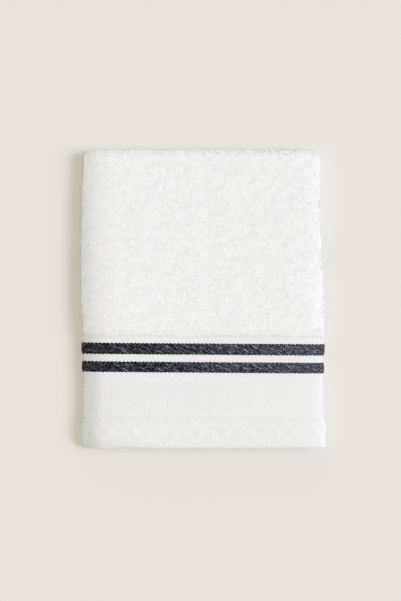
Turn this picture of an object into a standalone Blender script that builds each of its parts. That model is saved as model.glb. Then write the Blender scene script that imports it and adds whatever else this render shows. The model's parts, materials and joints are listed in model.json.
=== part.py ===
"""A white terry hand towel, folded for a shelf.

The towel is one woven length with a flat striped border and a turned hem at each end. Both long edges are
folded in to the middle, and the strip that this leaves is folded in three. One third lies on top, with its
face, border and hem showing. Its hem reaches a little past the fold beneath.

The cloth is a flat grid that is bent along the folds and then given its thickness. Distances across the towel
are called across, and distances along it, measured from the end that shows, are called along.
"""

import math

import bmesh
import bpy

# Driving dimensions, in metres
CUT_WIDTH = 0.498
CUT_LENGTH = 0.914
FOLDED_WIDTH = 0.250
FOLDED_LENGTH = 0.310

TERRY_THICK = 0.0029
LAYER_GAP = 0.0013
HEM_OVERHANG = 0.0065
SELVAGE_GAP = 0.0012

# The border at each end of the towel, from the end inwards
BORDER = (
    # band, depth along the towel, thickness
    ("hem", 0.0310, 0.0027),
    ("figured", 0.0360, 0.0017),
    ("plain", 0.0095, 0.0015),
    ("stripe", 0.0120, 0.0022),
    ("between", 0.0070, 0.0015),
    ("stripe", 0.0120, 0.0022),
    ("plain", 0.0085, 0.0015),
)
BORDER_DEPTH = sum(depth for _, depth, _ in BORDER)
BAND_STEP = 0.0010
PILE_STEP = 0.0050
ROLLED_EDGE = 0.0009
ROLLED_EDGE_THICK = 0.0014
SETTLED_BORDER_THICK = 0.0019

# Half widths of the folded strip, which is a little uneven along its length
HALF_WIDTHS = (
    # place, along the towel, left half width, right half width
    ("hem end", 0.0000, 0.1242, 0.1266),
    ("hem", 0.0100, 0.1260, 0.1270),
    ("hem bulge", 0.0225, 0.1265, 0.1286),
    ("hem line", 0.0325, 0.1243, 0.1254),
    ("stripes", 0.0900, 0.1242, 0.1254),
    ("pile end", 0.1180, 0.1256, 0.1265),
    ("lower terry", 0.1550, 0.1258, 0.1266),
    ("upper terry", 0.2050, 0.1258, 0.1239),
    ("by the fold", 0.2580, 0.1257, 0.1228),
    ("back fold", 0.3000, 0.1250, 0.1227),
    ("under the fold", 0.3450, 0.1236, 0.1220),
    ("middle of the base", 0.4800, 0.1240, 0.1232),
    ("front fold", 0.6250, 0.1224, 0.1236),
    ("inner third", 0.7000, 0.1230, 0.1236),
    ("inner end", 0.9140, 0.1224, 0.1216),
)

# How the stack settles: its sides sink, its folds pinch the cloth, and its edges don't quite line up
SIDE_CROWN = 0.10
SIDE_CROWN_WIDTH = 0.042
SIDE_SHOULDER = 0.07
FOLD_PINCH = 0.22
HEM_SETTLING = 0.008
PILE_SETTLING = 0.016
INNER_END_SAG = 0.0010
INNER_END_SAG_START = 0.190
INNER_END_SAG_RUN = 0.050
EVEN_HALF_WIDTH = 0.030
UNEVEN_SIDE_WIDTH = 0.095
EVEN_HALF_LENGTH = 0.060
UNEVEN_END_LENGTH = 0.080
BORDER_SLOPE = -0.0052
BORDER_SLOPE_FADE = 0.060
FRONT_FOLD_SKEW = 0.0060
BACK_CORNER_LAG = 0.0012
BACK_CORNER_LAG_WIDTH = 0.014
BACK_CORNER_ROUND = 0.0012
BACK_CORNER_ROUND_WIDTH = 0.007

# The hem end lies on the fold beneath as far as its rest, then bends down, in radians for each metre
HEM_REST = 0.0040
HEM_BEND = 30.0
LEFT_CORNER_BEND = 18.0
RIGHT_CORNER_BEND = 6.0
EDGE_WAVE = 0.0014
EDGE_WAVE_AT = -0.102
EDGE_WAVE_WIDTH = 0.022
EDGE_WAVE_DEPTH = 0.020

# Grid lines
SIDE_FOLD_STEPS = 6
LONGEST_BORDER_ROW = 0.013
TOP_STEPS = 8
BACK_FOLD_STEPS = 10
BASE_STEPS = 7
FRONT_FOLD_STEPS = 9
INNER_STEPS = 6
FLAP_LINES = (0.0, 0.18, 0.40, 0.62, 0.82, 0.94)
FACE_LINES = (-0.96, -0.90, -0.80, -0.66, -0.45, -0.16, 0.16, 0.45, 0.66, 0.80, 0.90, 0.96)

WHITE = (0.86, 0.86, 0.85, 1.0)
NAVY = (0.030, 0.034, 0.055, 1.0)
CLOTH_ROUGHNESS = 0.95

# Heights of the layers' middles in the terry, from the table up
LAYER_PITCH = TERRY_THICK + LAYER_GAP
BASE_HEIGHT = TERRY_THICK / 2
INNER_HEIGHT = BASE_HEIGHT + 3 * LAYER_PITCH
SIDE_SQUEEZE = 1 - SIDE_CROWN - SIDE_SHOULDER
SIDE_FOLD_RADIUS = LAYER_PITCH / 2
FRONT_FOLD_RADIUS = (INNER_HEIGHT - BASE_HEIGHT) / 2

# The flat face between the side folds, and the flap that is turned in behind it
FACE_HALF = FOLDED_WIDTH / 2 - SIDE_FOLD_RADIUS * SIDE_SQUEEZE - TERRY_THICK / 2
SIDE_FOLD_LENGTH = math.pi * SIDE_FOLD_RADIUS
FLAP_LENGTH = CUT_WIDTH / 2 - FACE_HALF - SIDE_FOLD_LENGTH

HEM_END = -FOLDED_LENGTH / 2
FRONT_FOLD_CENTRE = HEM_END + HEM_OVERHANG + TERRY_THICK / 2 + FRONT_FOLD_RADIUS


def ease(t):
    """A smooth step from 0 to 1 as t goes from 0 to 1."""
    t = min(max(t, 0.0), 1.0)
    return t * t * (3 - 2 * t)


def bump(t):
    """A smooth hill, 1 at t = 0 and 0 from t = -1 and t = 1 outwards."""
    return 1 - ease(abs(t))


def thickness_steps():
    """Where the cloth's thickness changes, as (start, end, thickness after), from the rolled hem edge inwards."""
    steps = [(0.0, ROLLED_EDGE, BORDER[0][2])]
    reach = 0.0
    for band, after in zip(BORDER, BORDER[1:]):
        reach += band[1]
        steps.append((reach - BAND_STEP / 2, reach + BAND_STEP / 2, after[2]))
    steps.append((BORDER_DEPTH, BORDER_DEPTH + PILE_STEP, TERRY_THICK))
    return steps


def thickness_at(along):
    """The cloth's thickness, from the rolled edge of the hem through the flat border to the pile."""
    depth = min(along, CUT_LENGTH - along)
    thick = ROLLED_EDGE_THICK
    for start, end, after in thickness_steps():
        thick += (after - thick) * ease((depth - start) / (end - start))
    return thick


def settled_thickness(along):
    """The thickness that the layers settle to, which eases across the bands instead of following each stripe."""
    depth = min(along, CUT_LENGTH - along)
    _, hem_depth, hem_thick = BORDER[0]
    thick = hem_thick + (SETTLED_BORDER_THICK - hem_thick) * ease((depth - hem_depth) / HEM_SETTLING + 0.5)
    return thick + (TERRY_THICK - thick) * ease((depth - BORDER_DEPTH) / PILE_SETTLING + 0.4)


def half_width_at(along, side):
    """The folded strip's half width on the left (side 2) or the right (side 3), eased between the rows."""
    for here, there in zip(HALF_WIDTHS, HALF_WIDTHS[1:]):
        if along <= there[1]:
            share = ease((along - here[1]) / (there[1] - here[1]))
            return here[side] + (there[side] - here[side]) * share
    return HALF_WIDTHS[-1][side]


def side_fold_turn(across):
    """How far round its side fold a point is, from 0 on the face to pi on the flap behind it."""
    return math.pi * min(max((abs(across) - FACE_HALF) / SIDE_FOLD_LENGTH, 0.0), 1.0)


def fold_sides(across, radius):
    """Folds the long edges in: the distance from the middle line, and how far behind the face it lies."""
    side = math.copysign(1.0, across)
    turn = side_fold_turn(across)
    if turn == 0.0:
        return across, 0.0
    if turn < math.pi:
        return side * (FACE_HALF + radius * SIDE_SQUEEZE * math.sin(turn)), radius * (1 - math.cos(turn))
    turned_in = (abs(across) - FACE_HALF - SIDE_FOLD_LENGTH) / FLAP_LENGTH
    return side * (FACE_HALF - turned_in * (FACE_HALF - SELVAGE_GAP / 2)), 2 * radius


def top_face_height(along):
    """The height of the top third's face, which sinks where the layers under it are flat cloth."""
    thick = settled_thickness(along)
    height = INNER_HEIGHT + TERRY_THICK / 2 + 1.5 * thick + 2 * LAYER_GAP
    return height - INNER_END_SAG * ease((along - INNER_END_SAG_START) / INNER_END_SAG_RUN)


def inner_face_height(along):
    """The height of the inner third's face."""
    return BASE_HEIGHT + LAYER_PITCH + TERRY_THICK / 2 + 1.5 * settled_thickness(along) + 2 * LAYER_GAP


BACK_FOLD_TOP = top_face_height(CUT_LENGTH / 2)
BACK_FOLD_RADIUS = (BACK_FOLD_TOP - BASE_HEIGHT) / 2
BACK_FOLD_CENTRE = FOLDED_LENGTH / 2 - TERRY_THICK / 2 - BACK_FOLD_RADIUS
TOP_RUN = BACK_FOLD_CENTRE - HEM_END
BACK_FOLD_END = TOP_RUN + math.pi * BACK_FOLD_RADIUS
BASE_RUN = BACK_FOLD_CENTRE - FRONT_FOLD_CENTRE
FRONT_FOLD_START = BACK_FOLD_END + BASE_RUN
FRONT_FOLD_END = FRONT_FOLD_START + math.pi * FRONT_FOLD_RADIUS


def fold_in_three(along, behind):
    """The place (y, z) of a point that lies behind the strip's face by the given distance."""
    if along <= TOP_RUN:
        return HEM_END + along, top_face_height(along) - behind
    if along <= BACK_FOLD_END:
        turn = (along - TOP_RUN) / BACK_FOLD_RADIUS
        radius = BACK_FOLD_RADIUS - behind
        height = BASE_HEIGHT + BACK_FOLD_RADIUS + radius * math.cos(turn)
        return BACK_FOLD_CENTRE + radius * math.sin(turn), height
    if along <= FRONT_FOLD_START:
        return BACK_FOLD_CENTRE - (along - BACK_FOLD_END), BASE_HEIGHT + behind
    if along <= FRONT_FOLD_END:
        turn = (along - FRONT_FOLD_START) / FRONT_FOLD_RADIUS
        radius = FRONT_FOLD_RADIUS - behind
        height = BASE_HEIGHT + FRONT_FOLD_RADIUS - radius * math.cos(turn)
        return FRONT_FOLD_CENTRE - radius * math.sin(turn), height
    return FRONT_FOLD_CENTRE + (along - FRONT_FOLD_END), inner_face_height(along) - behind


def near_side(distance):
    """From 0 in the even middle to 1 at a side, by the distance from the middle line."""
    return ease((distance - EVEN_HALF_WIDTH) / UNEVEN_SIDE_WIDTH)


def near_end(distance):
    """From 0 in the even middle to 1 at a folded end, by the distance from the middle."""
    return ease((distance - EVEN_HALF_LENGTH) / UNEVEN_END_LENGTH)


def droop(x, along, behind):
    """How far the hem end curls back and down, past the fold that it rests on."""
    past = HEM_OVERHANG + FRONT_FOLD_SKEW * near_side(-x) + HEM_REST - along
    if past <= 0:
        return 0.0, 0.0
    bend = HEM_BEND + LEFT_CORNER_BEND * near_side(-x) + RIGHT_CORNER_BEND * near_side(x)
    angle = bend * past
    back = past - math.sin(angle) / bend + behind * math.sin(angle)
    return back, (behind - 1 / bend) * (1 - math.cos(angle))


def settle(x, y, z, along, behind):
    """Adds the small unevenness of a stack folded by hand."""
    if along < TOP_RUN:
        fade = ease(along / BORDER[0][1]) * (1 - ease((along - BORDER_DEPTH) / BORDER_SLOPE_FADE))
        y += BORDER_SLOPE * x * fade
        wave = EDGE_WAVE * bump((x - EDGE_WAVE_AT) / EDGE_WAVE_WIDTH)
        y -= wave * (1 - ease(along / EDGE_WAVE_DEPTH))
    if along > BACK_FOLD_END:
        y += FRONT_FOLD_SKEW * near_side(-x) * near_end(-y)
    lag = BACK_CORNER_LAG * ease((abs(x) - FACE_HALF) / BACK_CORNER_LAG_WIDTH + 1)
    rounding = max((abs(x) - FACE_HALF) / BACK_CORNER_ROUND_WIDTH + 0.5, 0.0)
    y -= (lag + BACK_CORNER_ROUND * rounding**2) * near_end(y)

    from_side = min(max((abs(x) - FOLDED_WIDTH / 2) / SIDE_CROWN_WIDTH + 1, 0.0), 1.0)
    crown = SIDE_CROWN * from_side**2 + SIDE_SHOULDER * from_side**6
    z = BASE_HEIGHT + (z - BASE_HEIGHT) * (1 - crown)
    back, down = droop(x, along, behind * (1 - crown))
    return x, y + back, z + down


def place(across, along):
    """Where a point of the flat towel lies once it is folded."""
    flat_third = along < TOP_RUN or along > FRONT_FOLD_END
    thick = settled_thickness(along) if flat_third else TERRY_THICK
    radius = (thick + LAYER_GAP) / 2
    x, behind = fold_sides(across, radius)
    y, z = fold_in_three(along, behind)
    x *= half_width_at(along, 2 if x < 0 else 3) / (FACE_HALF + radius * SIDE_SQUEEZE + thick / 2)
    return settle(x, y, z, along, behind)


def thickness_share(across, along):
    """The thickness as a share of the terry's, a little less where a fold pinches the cloth."""
    round_front = min(max((along - FRONT_FOLD_START) / (FRONT_FOLD_END - FRONT_FOLD_START), 0.0), 1.0)
    pinch = max(math.sin(side_fold_turn(across)), math.sin(math.pi * round_front))
    return thickness_at(along) / TERRY_THICK * (1 - FOLD_PINCH * pinch)


def lines_across():
    """Grid lines from one long edge to the other, close together round the side folds."""
    flap = [CUT_WIDTH / 2 - share * FLAP_LENGTH for share in FLAP_LINES]
    fold = [FACE_HALF + SIDE_FOLD_LENGTH * (1 - step / SIDE_FOLD_STEPS) for step in range(SIDE_FOLD_STEPS + 1)]
    face = [share * FACE_HALF for share in FACE_LINES]
    return [-value for value in flap + fold] + face + (flap + fold)[::-1]


def spread(start, end, steps):
    """Evenly spaced lines after start, up to and including end."""
    return [start + (end - start) * (step + 1) / steps for step in range(steps)]


def border_lines(steps):
    """Lines along one border, from its end inwards: two at each of its given changes of thickness."""
    lines = []
    for start, end, _ in steps:
        room = start - lines[-1] if lines else 0.0
        if room > LONGEST_BORDER_ROW:
            lines += spread(lines[-1], start, math.ceil(room / LONGEST_BORDER_ROW))[:-1]
        lines += [start, end]
    return lines


def lines_along():
    """Grid lines from the end that shows to the inner end, where the hidden border keeps its hem alone."""
    steps = thickness_steps()
    lines = border_lines(steps)
    lines += spread(lines[-1], TOP_RUN, TOP_STEPS)
    lines += spread(TOP_RUN, BACK_FOLD_END, BACK_FOLD_STEPS)
    lines += spread(BACK_FOLD_END, FRONT_FOLD_START, BASE_STEPS)
    lines += spread(FRONT_FOLD_START, FRONT_FOLD_END, FRONT_FOLD_STEPS)
    inner = [CUT_LENGTH - depth for depth in border_lines(steps[:2] + steps[-1:])][::-1]
    lines += spread(FRONT_FOLD_END, inner[0], INNER_STEPS)
    return lines + inner[1:]


def make_material(name, colour):
    material = bpy.data.materials.new(name)
    material.use_nodes = True
    material.diffuse_color = colour
    shader = material.node_tree.nodes["Principled BSDF"]
    shader.inputs["Base Color"].default_value = colour
    shader.inputs["Roughness"].default_value = CLOTH_ROUGHNESS
    shader.inputs["Metallic"].default_value = 0.0
    return material


def stripe_spans():
    """Where the navy stripes run, as distances along the towel from either end."""
    spans = []
    reach = 0.0
    for band, depth, _ in BORDER:
        if band == "stripe":
            spans.append((reach, reach + depth))
        reach += depth
    return spans


def make_towel(collection):
    across, along = lines_across(), lines_along()
    columns, rows = len(across) - 1, len(along) - 1
    mesh = bpy.data.meshes.new("towel")
    sheet = bmesh.new()
    bmesh.ops.create_grid(sheet, x_segments=columns, y_segments=rows, size=1.0)
    weights = sheet.verts.layers.deform.verify()
    where = {}
    for vertex in sheet.verts:
        column = round((vertex.co.x + 1) / 2 * columns)
        row = round((vertex.co.y + 1) / 2 * rows)
        where[vertex] = along[row]
        vertex[weights][0] = thickness_share(across[column], along[row])
        vertex.co = place(across[column], along[row])
    for face in sheet.faces:
        middle = sum(where[vertex] for vertex in face.verts) / len(face.verts)
        depth = min(middle, CUT_LENGTH - middle)
        face.material_index = int(any(start < depth < end for start, end in stripe_spans()))
        face.smooth = True
    sheet.to_mesh(mesh)
    sheet.free()
    mesh.materials.append(make_material("white_cotton", WHITE))
    mesh.materials.append(make_material("navy_cotton", NAVY))

    towel = bpy.data.objects.new("towel", mesh)
    collection.objects.link(towel)
    towel.vertex_groups.new(name="thickness")
    shell = towel.modifiers.new("thickness", "SOLIDIFY")
    shell.thickness = TERRY_THICK
    shell.offset = 0.0
    shell.vertex_group = "thickness"
    shell.use_rim = True
    return towel


def centre_on_base(towel):
    """Puts the middle of the base at the origin."""
    bpy.context.view_layer.update()
    solid = towel.evaluated_get(bpy.context.evaluated_depsgraph_get()).to_mesh()
    lows = [min(vertex.co[axis] for vertex in solid.vertices) for axis in range(3)]
    highs = [max(vertex.co[axis] for vertex in solid.vertices) for axis in range(3)]
    shift = (-(lows[0] + highs[0]) / 2, -(lows[1] + highs[1]) / 2, -lows[2])
    for vertex in towel.data.vertices:
        vertex.co = [value + move for value, move in zip(vertex.co, shift)]


def main():
    for leftover in list(bpy.data.objects):
        bpy.data.objects.remove(leftover)
    collection = bpy.data.collections.new("hand_towel")
    bpy.context.scene.collection.children.link(collection)
    towel = make_towel(collection)
    centre_on_base(towel)


main()
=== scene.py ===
"""A folded terry hand towel: its looks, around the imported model.

The cloth is a thin sheet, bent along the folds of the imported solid. Its pile is short loops of yarn. Its border has
two navy stripes and a figured band of raised floats, and its hem is turned under and sewn. Distances across the flat
towel are called across, and distances along it, measured from the end that shows, are called along.
"""

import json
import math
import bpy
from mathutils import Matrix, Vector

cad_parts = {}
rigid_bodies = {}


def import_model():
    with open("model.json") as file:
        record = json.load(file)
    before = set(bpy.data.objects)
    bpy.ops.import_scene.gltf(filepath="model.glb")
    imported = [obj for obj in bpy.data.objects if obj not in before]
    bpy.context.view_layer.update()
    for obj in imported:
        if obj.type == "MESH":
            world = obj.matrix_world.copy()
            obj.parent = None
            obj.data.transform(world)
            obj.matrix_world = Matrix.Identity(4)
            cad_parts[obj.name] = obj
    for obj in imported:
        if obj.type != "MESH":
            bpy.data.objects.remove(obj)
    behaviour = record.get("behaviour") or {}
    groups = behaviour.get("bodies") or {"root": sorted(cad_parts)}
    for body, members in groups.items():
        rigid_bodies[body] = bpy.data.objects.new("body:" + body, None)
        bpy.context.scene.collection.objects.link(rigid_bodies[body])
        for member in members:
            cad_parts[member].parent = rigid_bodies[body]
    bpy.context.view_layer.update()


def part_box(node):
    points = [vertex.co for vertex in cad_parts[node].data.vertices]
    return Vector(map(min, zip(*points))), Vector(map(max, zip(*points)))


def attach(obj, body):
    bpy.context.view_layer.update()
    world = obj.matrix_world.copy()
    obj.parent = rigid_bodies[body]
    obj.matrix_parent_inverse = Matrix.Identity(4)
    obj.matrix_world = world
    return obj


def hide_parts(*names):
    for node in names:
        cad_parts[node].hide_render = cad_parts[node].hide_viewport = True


bl_info = {
    "name": "Folded Terry Towel",
    "version": (1, 0, 0),
    "blender": (4, 5, 0),
    "location": "View3D > Sidebar > Towel",
    "description": "Builds the pile, stripes, figured band and hem of a folded terry towel",
    "category": "Object",
}

import bmesh
import bpy
import numpy as np

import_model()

# The cloth and its folds, in metres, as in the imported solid
CUT_WIDTH = 0.498
CUT_LENGTH = 0.914
FOLDED_WIDTH = 0.250
FOLDED_LENGTH = 0.310
TERRY_THICK = 0.0029
LAYER_GAP = 0.0013
HEM_OVERHANG = 0.0065
SELVAGE_GAP = 0.0012
STRIP_BEHIND = 0.0020

# The border at each end of the towel, from the end inwards
BORDER = (
    # band, depth along the towel, thickness of its ground
    ("hem", 0.0310, 0.0027),
    ("figured", 0.0360, 0.0016),
    ("plain", 0.0108, 0.0016),
    ("stripe", 0.0115, 0.0017),
    ("between", 0.0071, 0.0016),
    ("stripe", 0.0122, 0.0017),
    ("plain", 0.0080, 0.0016),
)
BORDER_DEPTH = sum(depth for _, depth, _ in BORDER)
GROUND_THICK = 0.0020
ROLLED_EDGE = 0.0012
ROLLED_EDGE_THICK = 0.0012
SETTLED_BORDER_THICK = 0.0019

# Half widths of the folded strip, which is a little uneven along its length
HALF_WIDTHS = (
    # place, along the towel, left half width, right half width
    ("hem end", 0.0000, 0.1268, 0.1280),
    ("hem", 0.0100, 0.1273, 0.1277),
    ("hem bulge", 0.0225, 0.1274, 0.1285),
    ("hem line", 0.0325, 0.1252, 0.1258),
    ("stripes", 0.0900, 0.1247, 0.1251),
    ("pile end", 0.1180, 0.1256, 0.1265),
    ("lower terry", 0.1550, 0.1275, 0.1266),
    ("upper terry", 0.2050, 0.1275, 0.1239),
    ("by the fold", 0.2580, 0.1269, 0.1228),
    ("back fold", 0.3000, 0.1256, 0.1227),
    ("under the fold", 0.3450, 0.1236, 0.1220),
    ("middle of the base", 0.4800, 0.1240, 0.1232),
    ("front fold", 0.6250, 0.1224, 0.1236),
    ("inner third", 0.7000, 0.1230, 0.1236),
    ("inner end", 0.9140, 0.1224, 0.1216),
)

# How far the plump stripes reach past the ground at both sides
STRIPE_BULGE = 0.0010
STRIPE_BULGE_RUN = 0.0026

# How the stack settles. A crown, shoulder, sag, roll, rise or pinch is a share of the height or thickness there, and a
# power, fullness, shift or slope a plain number. A bend is in radians a metre. The rest is in metres.
SIDE_CROWN = 0.10
SIDE_CROWN_WIDTH = 0.042
SIDE_SHOULDER = 0.07
SIDE_SHOULDER_POWER = 6
SIDE_FOLD_FULLNESS = 5.0
LEFT_SAG = 0.18
LEFT_SAG_WIDTH = 0.034
LEFT_BORDER_SAG = 0.13
LEFT_BORDER_SAG_WIDTH = 0.060
LEFT_BORDER_SAG_POWER = 1.7
LEFT_EDGE_SAG = 0.095
LEFT_EDGE_SAG_WIDTH = 0.022
LEFT_EDGE_SAG_POWER = 1.8
LEFT_ROLL = 0.100
LEFT_ROLL_WIDTH = 0.020
RIGHT_RISE = 0.038
RIGHT_RISE_WIDTH = 0.042
LEFT_CORNER_REACH = 0.0014
LEFT_CORNER_WIDTH = 0.030
BACK_FOLD_FULLNESS = 5.4
FOLD_PINCH = 0.22
HEM_SETTLING = 0.008
PILE_SETTLING = 0.016
PILE_SETTLING_SHIFT = 0.4
INNER_END_SINK = 0.0010
INNER_END_SINK_START = 0.190
INNER_END_SINK_RUN = 0.050
EVEN_HALF_WIDTH = 0.030
UNEVEN_SIDE_WIDTH = 0.095
EVEN_HALF_LENGTH = 0.060
UNEVEN_END_LENGTH = 0.080
BORDER_SLOPE = -0.0064
BORDER_SLOPE_FADE = 0.060
FRONT_FOLD_SKEW = 0.0060
BACK_CORNER_LAG = 0.0012
BACK_CORNER_LAG_WIDTH = 0.014
BACK_CORNER_ROUND = 0.0012
BACK_CORNER_ROUND_WIDTH = 0.007
HEM_REST = 0.0040
HEM_BEND = 30.0
LEFT_CORNER_BEND = 8.0
RIGHT_CORNER_BEND = 6.0
HEM_REACH = 0.0005
BACK_REACH = 0.0007
EDGE_WAVE = 0.0014
EDGE_WAVE_AT = -0.102
EDGE_WAVE_WIDTH = 0.022
EDGE_WAVE_DEPTH = 0.020

# What follows from these measures. A third's face lies on half of itself and on the flaps behind it.
LAYERS_UNDER_FACE = 1.5
LAYER_PITCH = TERRY_THICK + LAYER_GAP
BASE_HEIGHT = TERRY_THICK / 2
INNER_HEIGHT = BASE_HEIGHT + 3 * LAYER_PITCH
SIDE_SQUEEZE = 1 - SIDE_CROWN - SIDE_SHOULDER
SIDE_FOLD_RADIUS = LAYER_PITCH / 2
FRONT_FOLD_RADIUS = (INNER_HEIGHT - BASE_HEIGHT) / 2
FACE_HALF = FOLDED_WIDTH / 2 - SIDE_FOLD_RADIUS * SIDE_SQUEEZE - TERRY_THICK / 2
SIDE_FOLD_LENGTH = math.pi * SIDE_FOLD_RADIUS
FLAP_LENGTH = CUT_WIDTH / 2 - FACE_HALF - SIDE_FOLD_LENGTH
SIDE_REACH = FACE_HALF + SIDE_FOLD_LENGTH + STRIP_BEHIND
HEM_END = -FOLDED_LENGTH / 2
FRONT_FOLD_CENTRE = HEM_END + HEM_OVERHANG + TERRY_THICK / 2 + FRONT_FOLD_RADIUS

# Soft creases in the third that lies on top, in metres
CREASES = (
    # name, x, along, turn in degrees, half length, half width, height
    ("between the flaps", 0.0050, 0.2050, 2.0, 0.130, 0.0120, -0.00030),
    ("left flap's back", -0.0640, 0.2300, -6.0, 0.060, 0.0160, 0.00025),
    ("right trough", 0.0500, 0.1560, 8.0, 0.045, 0.0100, -0.00025),
    ("pile end dimple", -0.0150, 0.1220, 70.0, 0.022, 0.0080, -0.00035),
    ("upper right hollow", 0.0870, 0.2560, 35.0, 0.040, 0.0220, -0.00030),
    ("left swell", -0.0930, 0.1500, 15.0, 0.035, 0.0140, 0.00025),
    ("band hollow", 0.0880, 0.0520, 75.0, 0.040, 0.0130, -0.00022),
    ("band swell", -0.0350, 0.0600, 80.0, 0.050, 0.0150, 0.00018),
    ("hem pucker", -0.0560, 0.0160, 20.0, 0.012, 0.0060, 0.00018),
    ("hem hollow", 0.0300, 0.0150, -12.0, 0.012, 0.0080, -0.00016),
)

CREASE_FADE = 0.3

# Grid lines of the sheet: the distance between them, or how many a stretch has
FACE_STEP = 0.0030
FLAP_STEPS = 4
SIDE_FOLD_STEPS = 14
BORDER_STEP = 0.0013
GROOVE_STEPS = 7
TERRY_STEP = 0.0036
BACK_FOLD_STEPS = 26
BASE_STEPS = 12
FRONT_FOLD_STEPS = 11
INNER_STEPS = 12
INNER_BORDER_STEPS = 20

# The hem's sewn groove, measured along the towel, and its puckers as (wave across, phase, wave along, phase)
HEM_GROOVE = 0.0294
HEM_GROOVE_WIDTH = 0.0011
BAND_STEP = 0.0010
PUCKERS = ((0.0021, 0.4, 0.0034, 0.0), (0.0037, 1.9, 0.0026, 1.2), (0.0058, 3.1, 0.0041, 2.3))

# Names that the meshes, trees and materials share
TONE = "tone"
UV_MAP = "UVMap"
MIDDLE = "cloth_middle"
ROWS = "Rows on Cloth"
FLOATS = "Yarn Floats"
FIBRES = "Cotton Fibres"
WEAVE = "Plain Weave"
WHITE_FLOATS = "white_floats"

# What keeps the random draws of a tree apart, and the part of a noise's range that is used
SHAKE_DRAWS = (1.0, 2.0)
FLOAT_TURN_DRAW = 3.0
LOOP_TURN_DRAW = 5.0
LOOP_SIZE_DRAW = 7.0
FLOAT_SIZE_DRAW = 11
FLOAT_TONE_DRAW = 17.0
NOISE_RANGE = (0.3, 0.7)
STREAK_RANGE = (0.25, 0.75)

# How the small pieces sit on the cloth, in metres and radians, or as shares
STEP_AHEAD = 0.0005
LOOP_STRAY = 0.45
LOOP_UNEVENNESS = 0.15
CLUMP_DETAIL = 2.0
# How far the loops' tone swings with the tufts, painted shade on the smaller ones, and with the random clumps
TONE_SWING = 0.32
LOOP_FLATNESS = 0.80
LOOP_BEND = 0.62
LOOP_ROOT = 0.0003
LOOP_LIFT = 0.00069
JITTER_SHARE = 0.28
TOP_PILE_PIECES = 4
UNDER_PITCH = 0.0036
UNDER_LENGTH = 0.0040
UNDER_HEIGHT = 0.0005
UNDER_YARN = 0.0010
UNDER_STEPS = 2
UNDER_TUFTS = 0.2
SIDE_PITCH = 0.0018
RIM_PITCH = 0.0020
RIM_REACH = 0.0006
RIM_JITTER = 0.0016
RIM_LENGTH = 0.0026
RIM_HEIGHT = 0.0004
RIM_LIFT = 0.00035
STRIPE_LIFT = 0.00095
FLECK_LIFT = 0.00140
FLECK_UNEVENNESS = 0.22
FLECK_SEGMENTS = 4
FLECK_RINGS = 3
FIGURED_LIFT = 0.00072
STITCH_LIFT = 0.00052
STITCH_ROW = 0.0005
SCALLOP = 0.00050
EDGE_FLOAT_LENGTH = 0.0034
EDGE_FLOAT_TURN = math.radians(-12)
FLOOR_SQUASH = 0.0005
FLOOR_SOFTNESS = 0.0008
FLOAT_JITTER = 0.00015
FLOAT_UNEVENNESS = 0.12
LOZENGE_UNEVENNESS = 0.05
FIGURED_RIGHT_FULLNESS = 0.4
# Painted light: the navy floats' and flecks' tone rises from the left side to the right, painted shade on the left and
# a painted highlight on the right
NAVY_PAINTED_LIGHT_RISE = 0.45
FLECK_PAINTED_LIGHT_RISE = 0.22
THREAD_PITCH = 0.0170
THREAD_LENGTH = 0.0080
THREAD_WIDTH = 0.00036
THREAD_MARGIN = 0.0036
THREAD_JITTER = 0.0014
STREAK_SHARE = 0.25

# Finishes
STRIPE_FEATHER = 0.0004
STRIPE_INSET = 0.0008
RAMP_DEPTH = 0.12
FIBRE_NOISE = (3.0, 0.6)
FIBRE_SHARE = 0.8
FIBRE_PATCH = 0.02
SLUB_SIZE = (0.0030, 0.0036, 1.0)
SLUB_NOISE = (3.0, 0.65)
SLUB_HEIGHT = 5.0
PATCH_SIZE = (0.0046, 0.0052, 1.0)
PATCH_NOISE = (3.0, 0.6)
NAVY_STOPS = (0.1, 0.5, 1.0)
# Fleck tones and their share of the fleck colour, which is partly lighter yarn and partly a painted highlight
FLECK_TONES = ((-0.10, 0.0), (0.0, 0.18), (0.40, 0.55), (0.66, 1.0))
# Painted shade in the hollows of the navy floats' fibre bump: the share of the colour left there, and how much of it
# is mixed in
FLOAT_SHADE = 0.4
FLOAT_HOLLOW_SHADE_MIX = 0.5
CLOTH_SPECULAR = 0.2
SHEEN_ROUGHNESS = 0.6

# The stage. Lengths are in metres, but the sensor is in millimetres.
FLOOR_SIZE = 60.0
FLOOR_ROUGHNESS = 0.9
FLOOR_GRAIN = 6.0
FLOOR_SHADE = 0.99
WARM = (1.0, 0.934, 0.803)
OVERHEAD_SPREAD = math.radians(14)
KEY_COLOUR = (0.780, 0.852, 0.996)
KEY_SPREAD = math.radians(36)
END_SPREAD = math.radians(36)
END_HEIGHT = math.radians(32)
GLOW_COLOUR = (0.807, 0.717, 0.533, 1.0)
BACKDROP_COLOUR = (0.807, 0.768, 0.723, 1.0)
SENSOR_WIDTH = 24.0
VIEW_CENTRE = (-0.00207, -0.00207)

# Layout of the node trees
NODES_IN_ROW = 8
NODE_SPACING = 220


def ease(t):
    """A smooth step from 0 to 1 as t goes from 0 to 1."""
    t = np.clip(t, 0.0, 1.0)
    return t * t * (3 - 2 * t)


def bump(t):
    """A smooth hill, 1 at t = 0 and 0 from t = -1 and t = 1 outwards."""
    return 1 - ease(np.abs(t))


def settled_thickness(along):
    """The thickness that the layers settle to, eased across the bands."""
    depth = np.minimum(along, CUT_LENGTH - along)
    _, hem_depth, hem_thick = BORDER[0]
    thick = hem_thick + (SETTLED_BORDER_THICK - hem_thick) * ease((depth - hem_depth) / HEM_SETTLING + 0.5)
    return thick + (TERRY_THICK - thick) * ease((depth - BORDER_DEPTH) / PILE_SETTLING + PILE_SETTLING_SHIFT)


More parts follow.
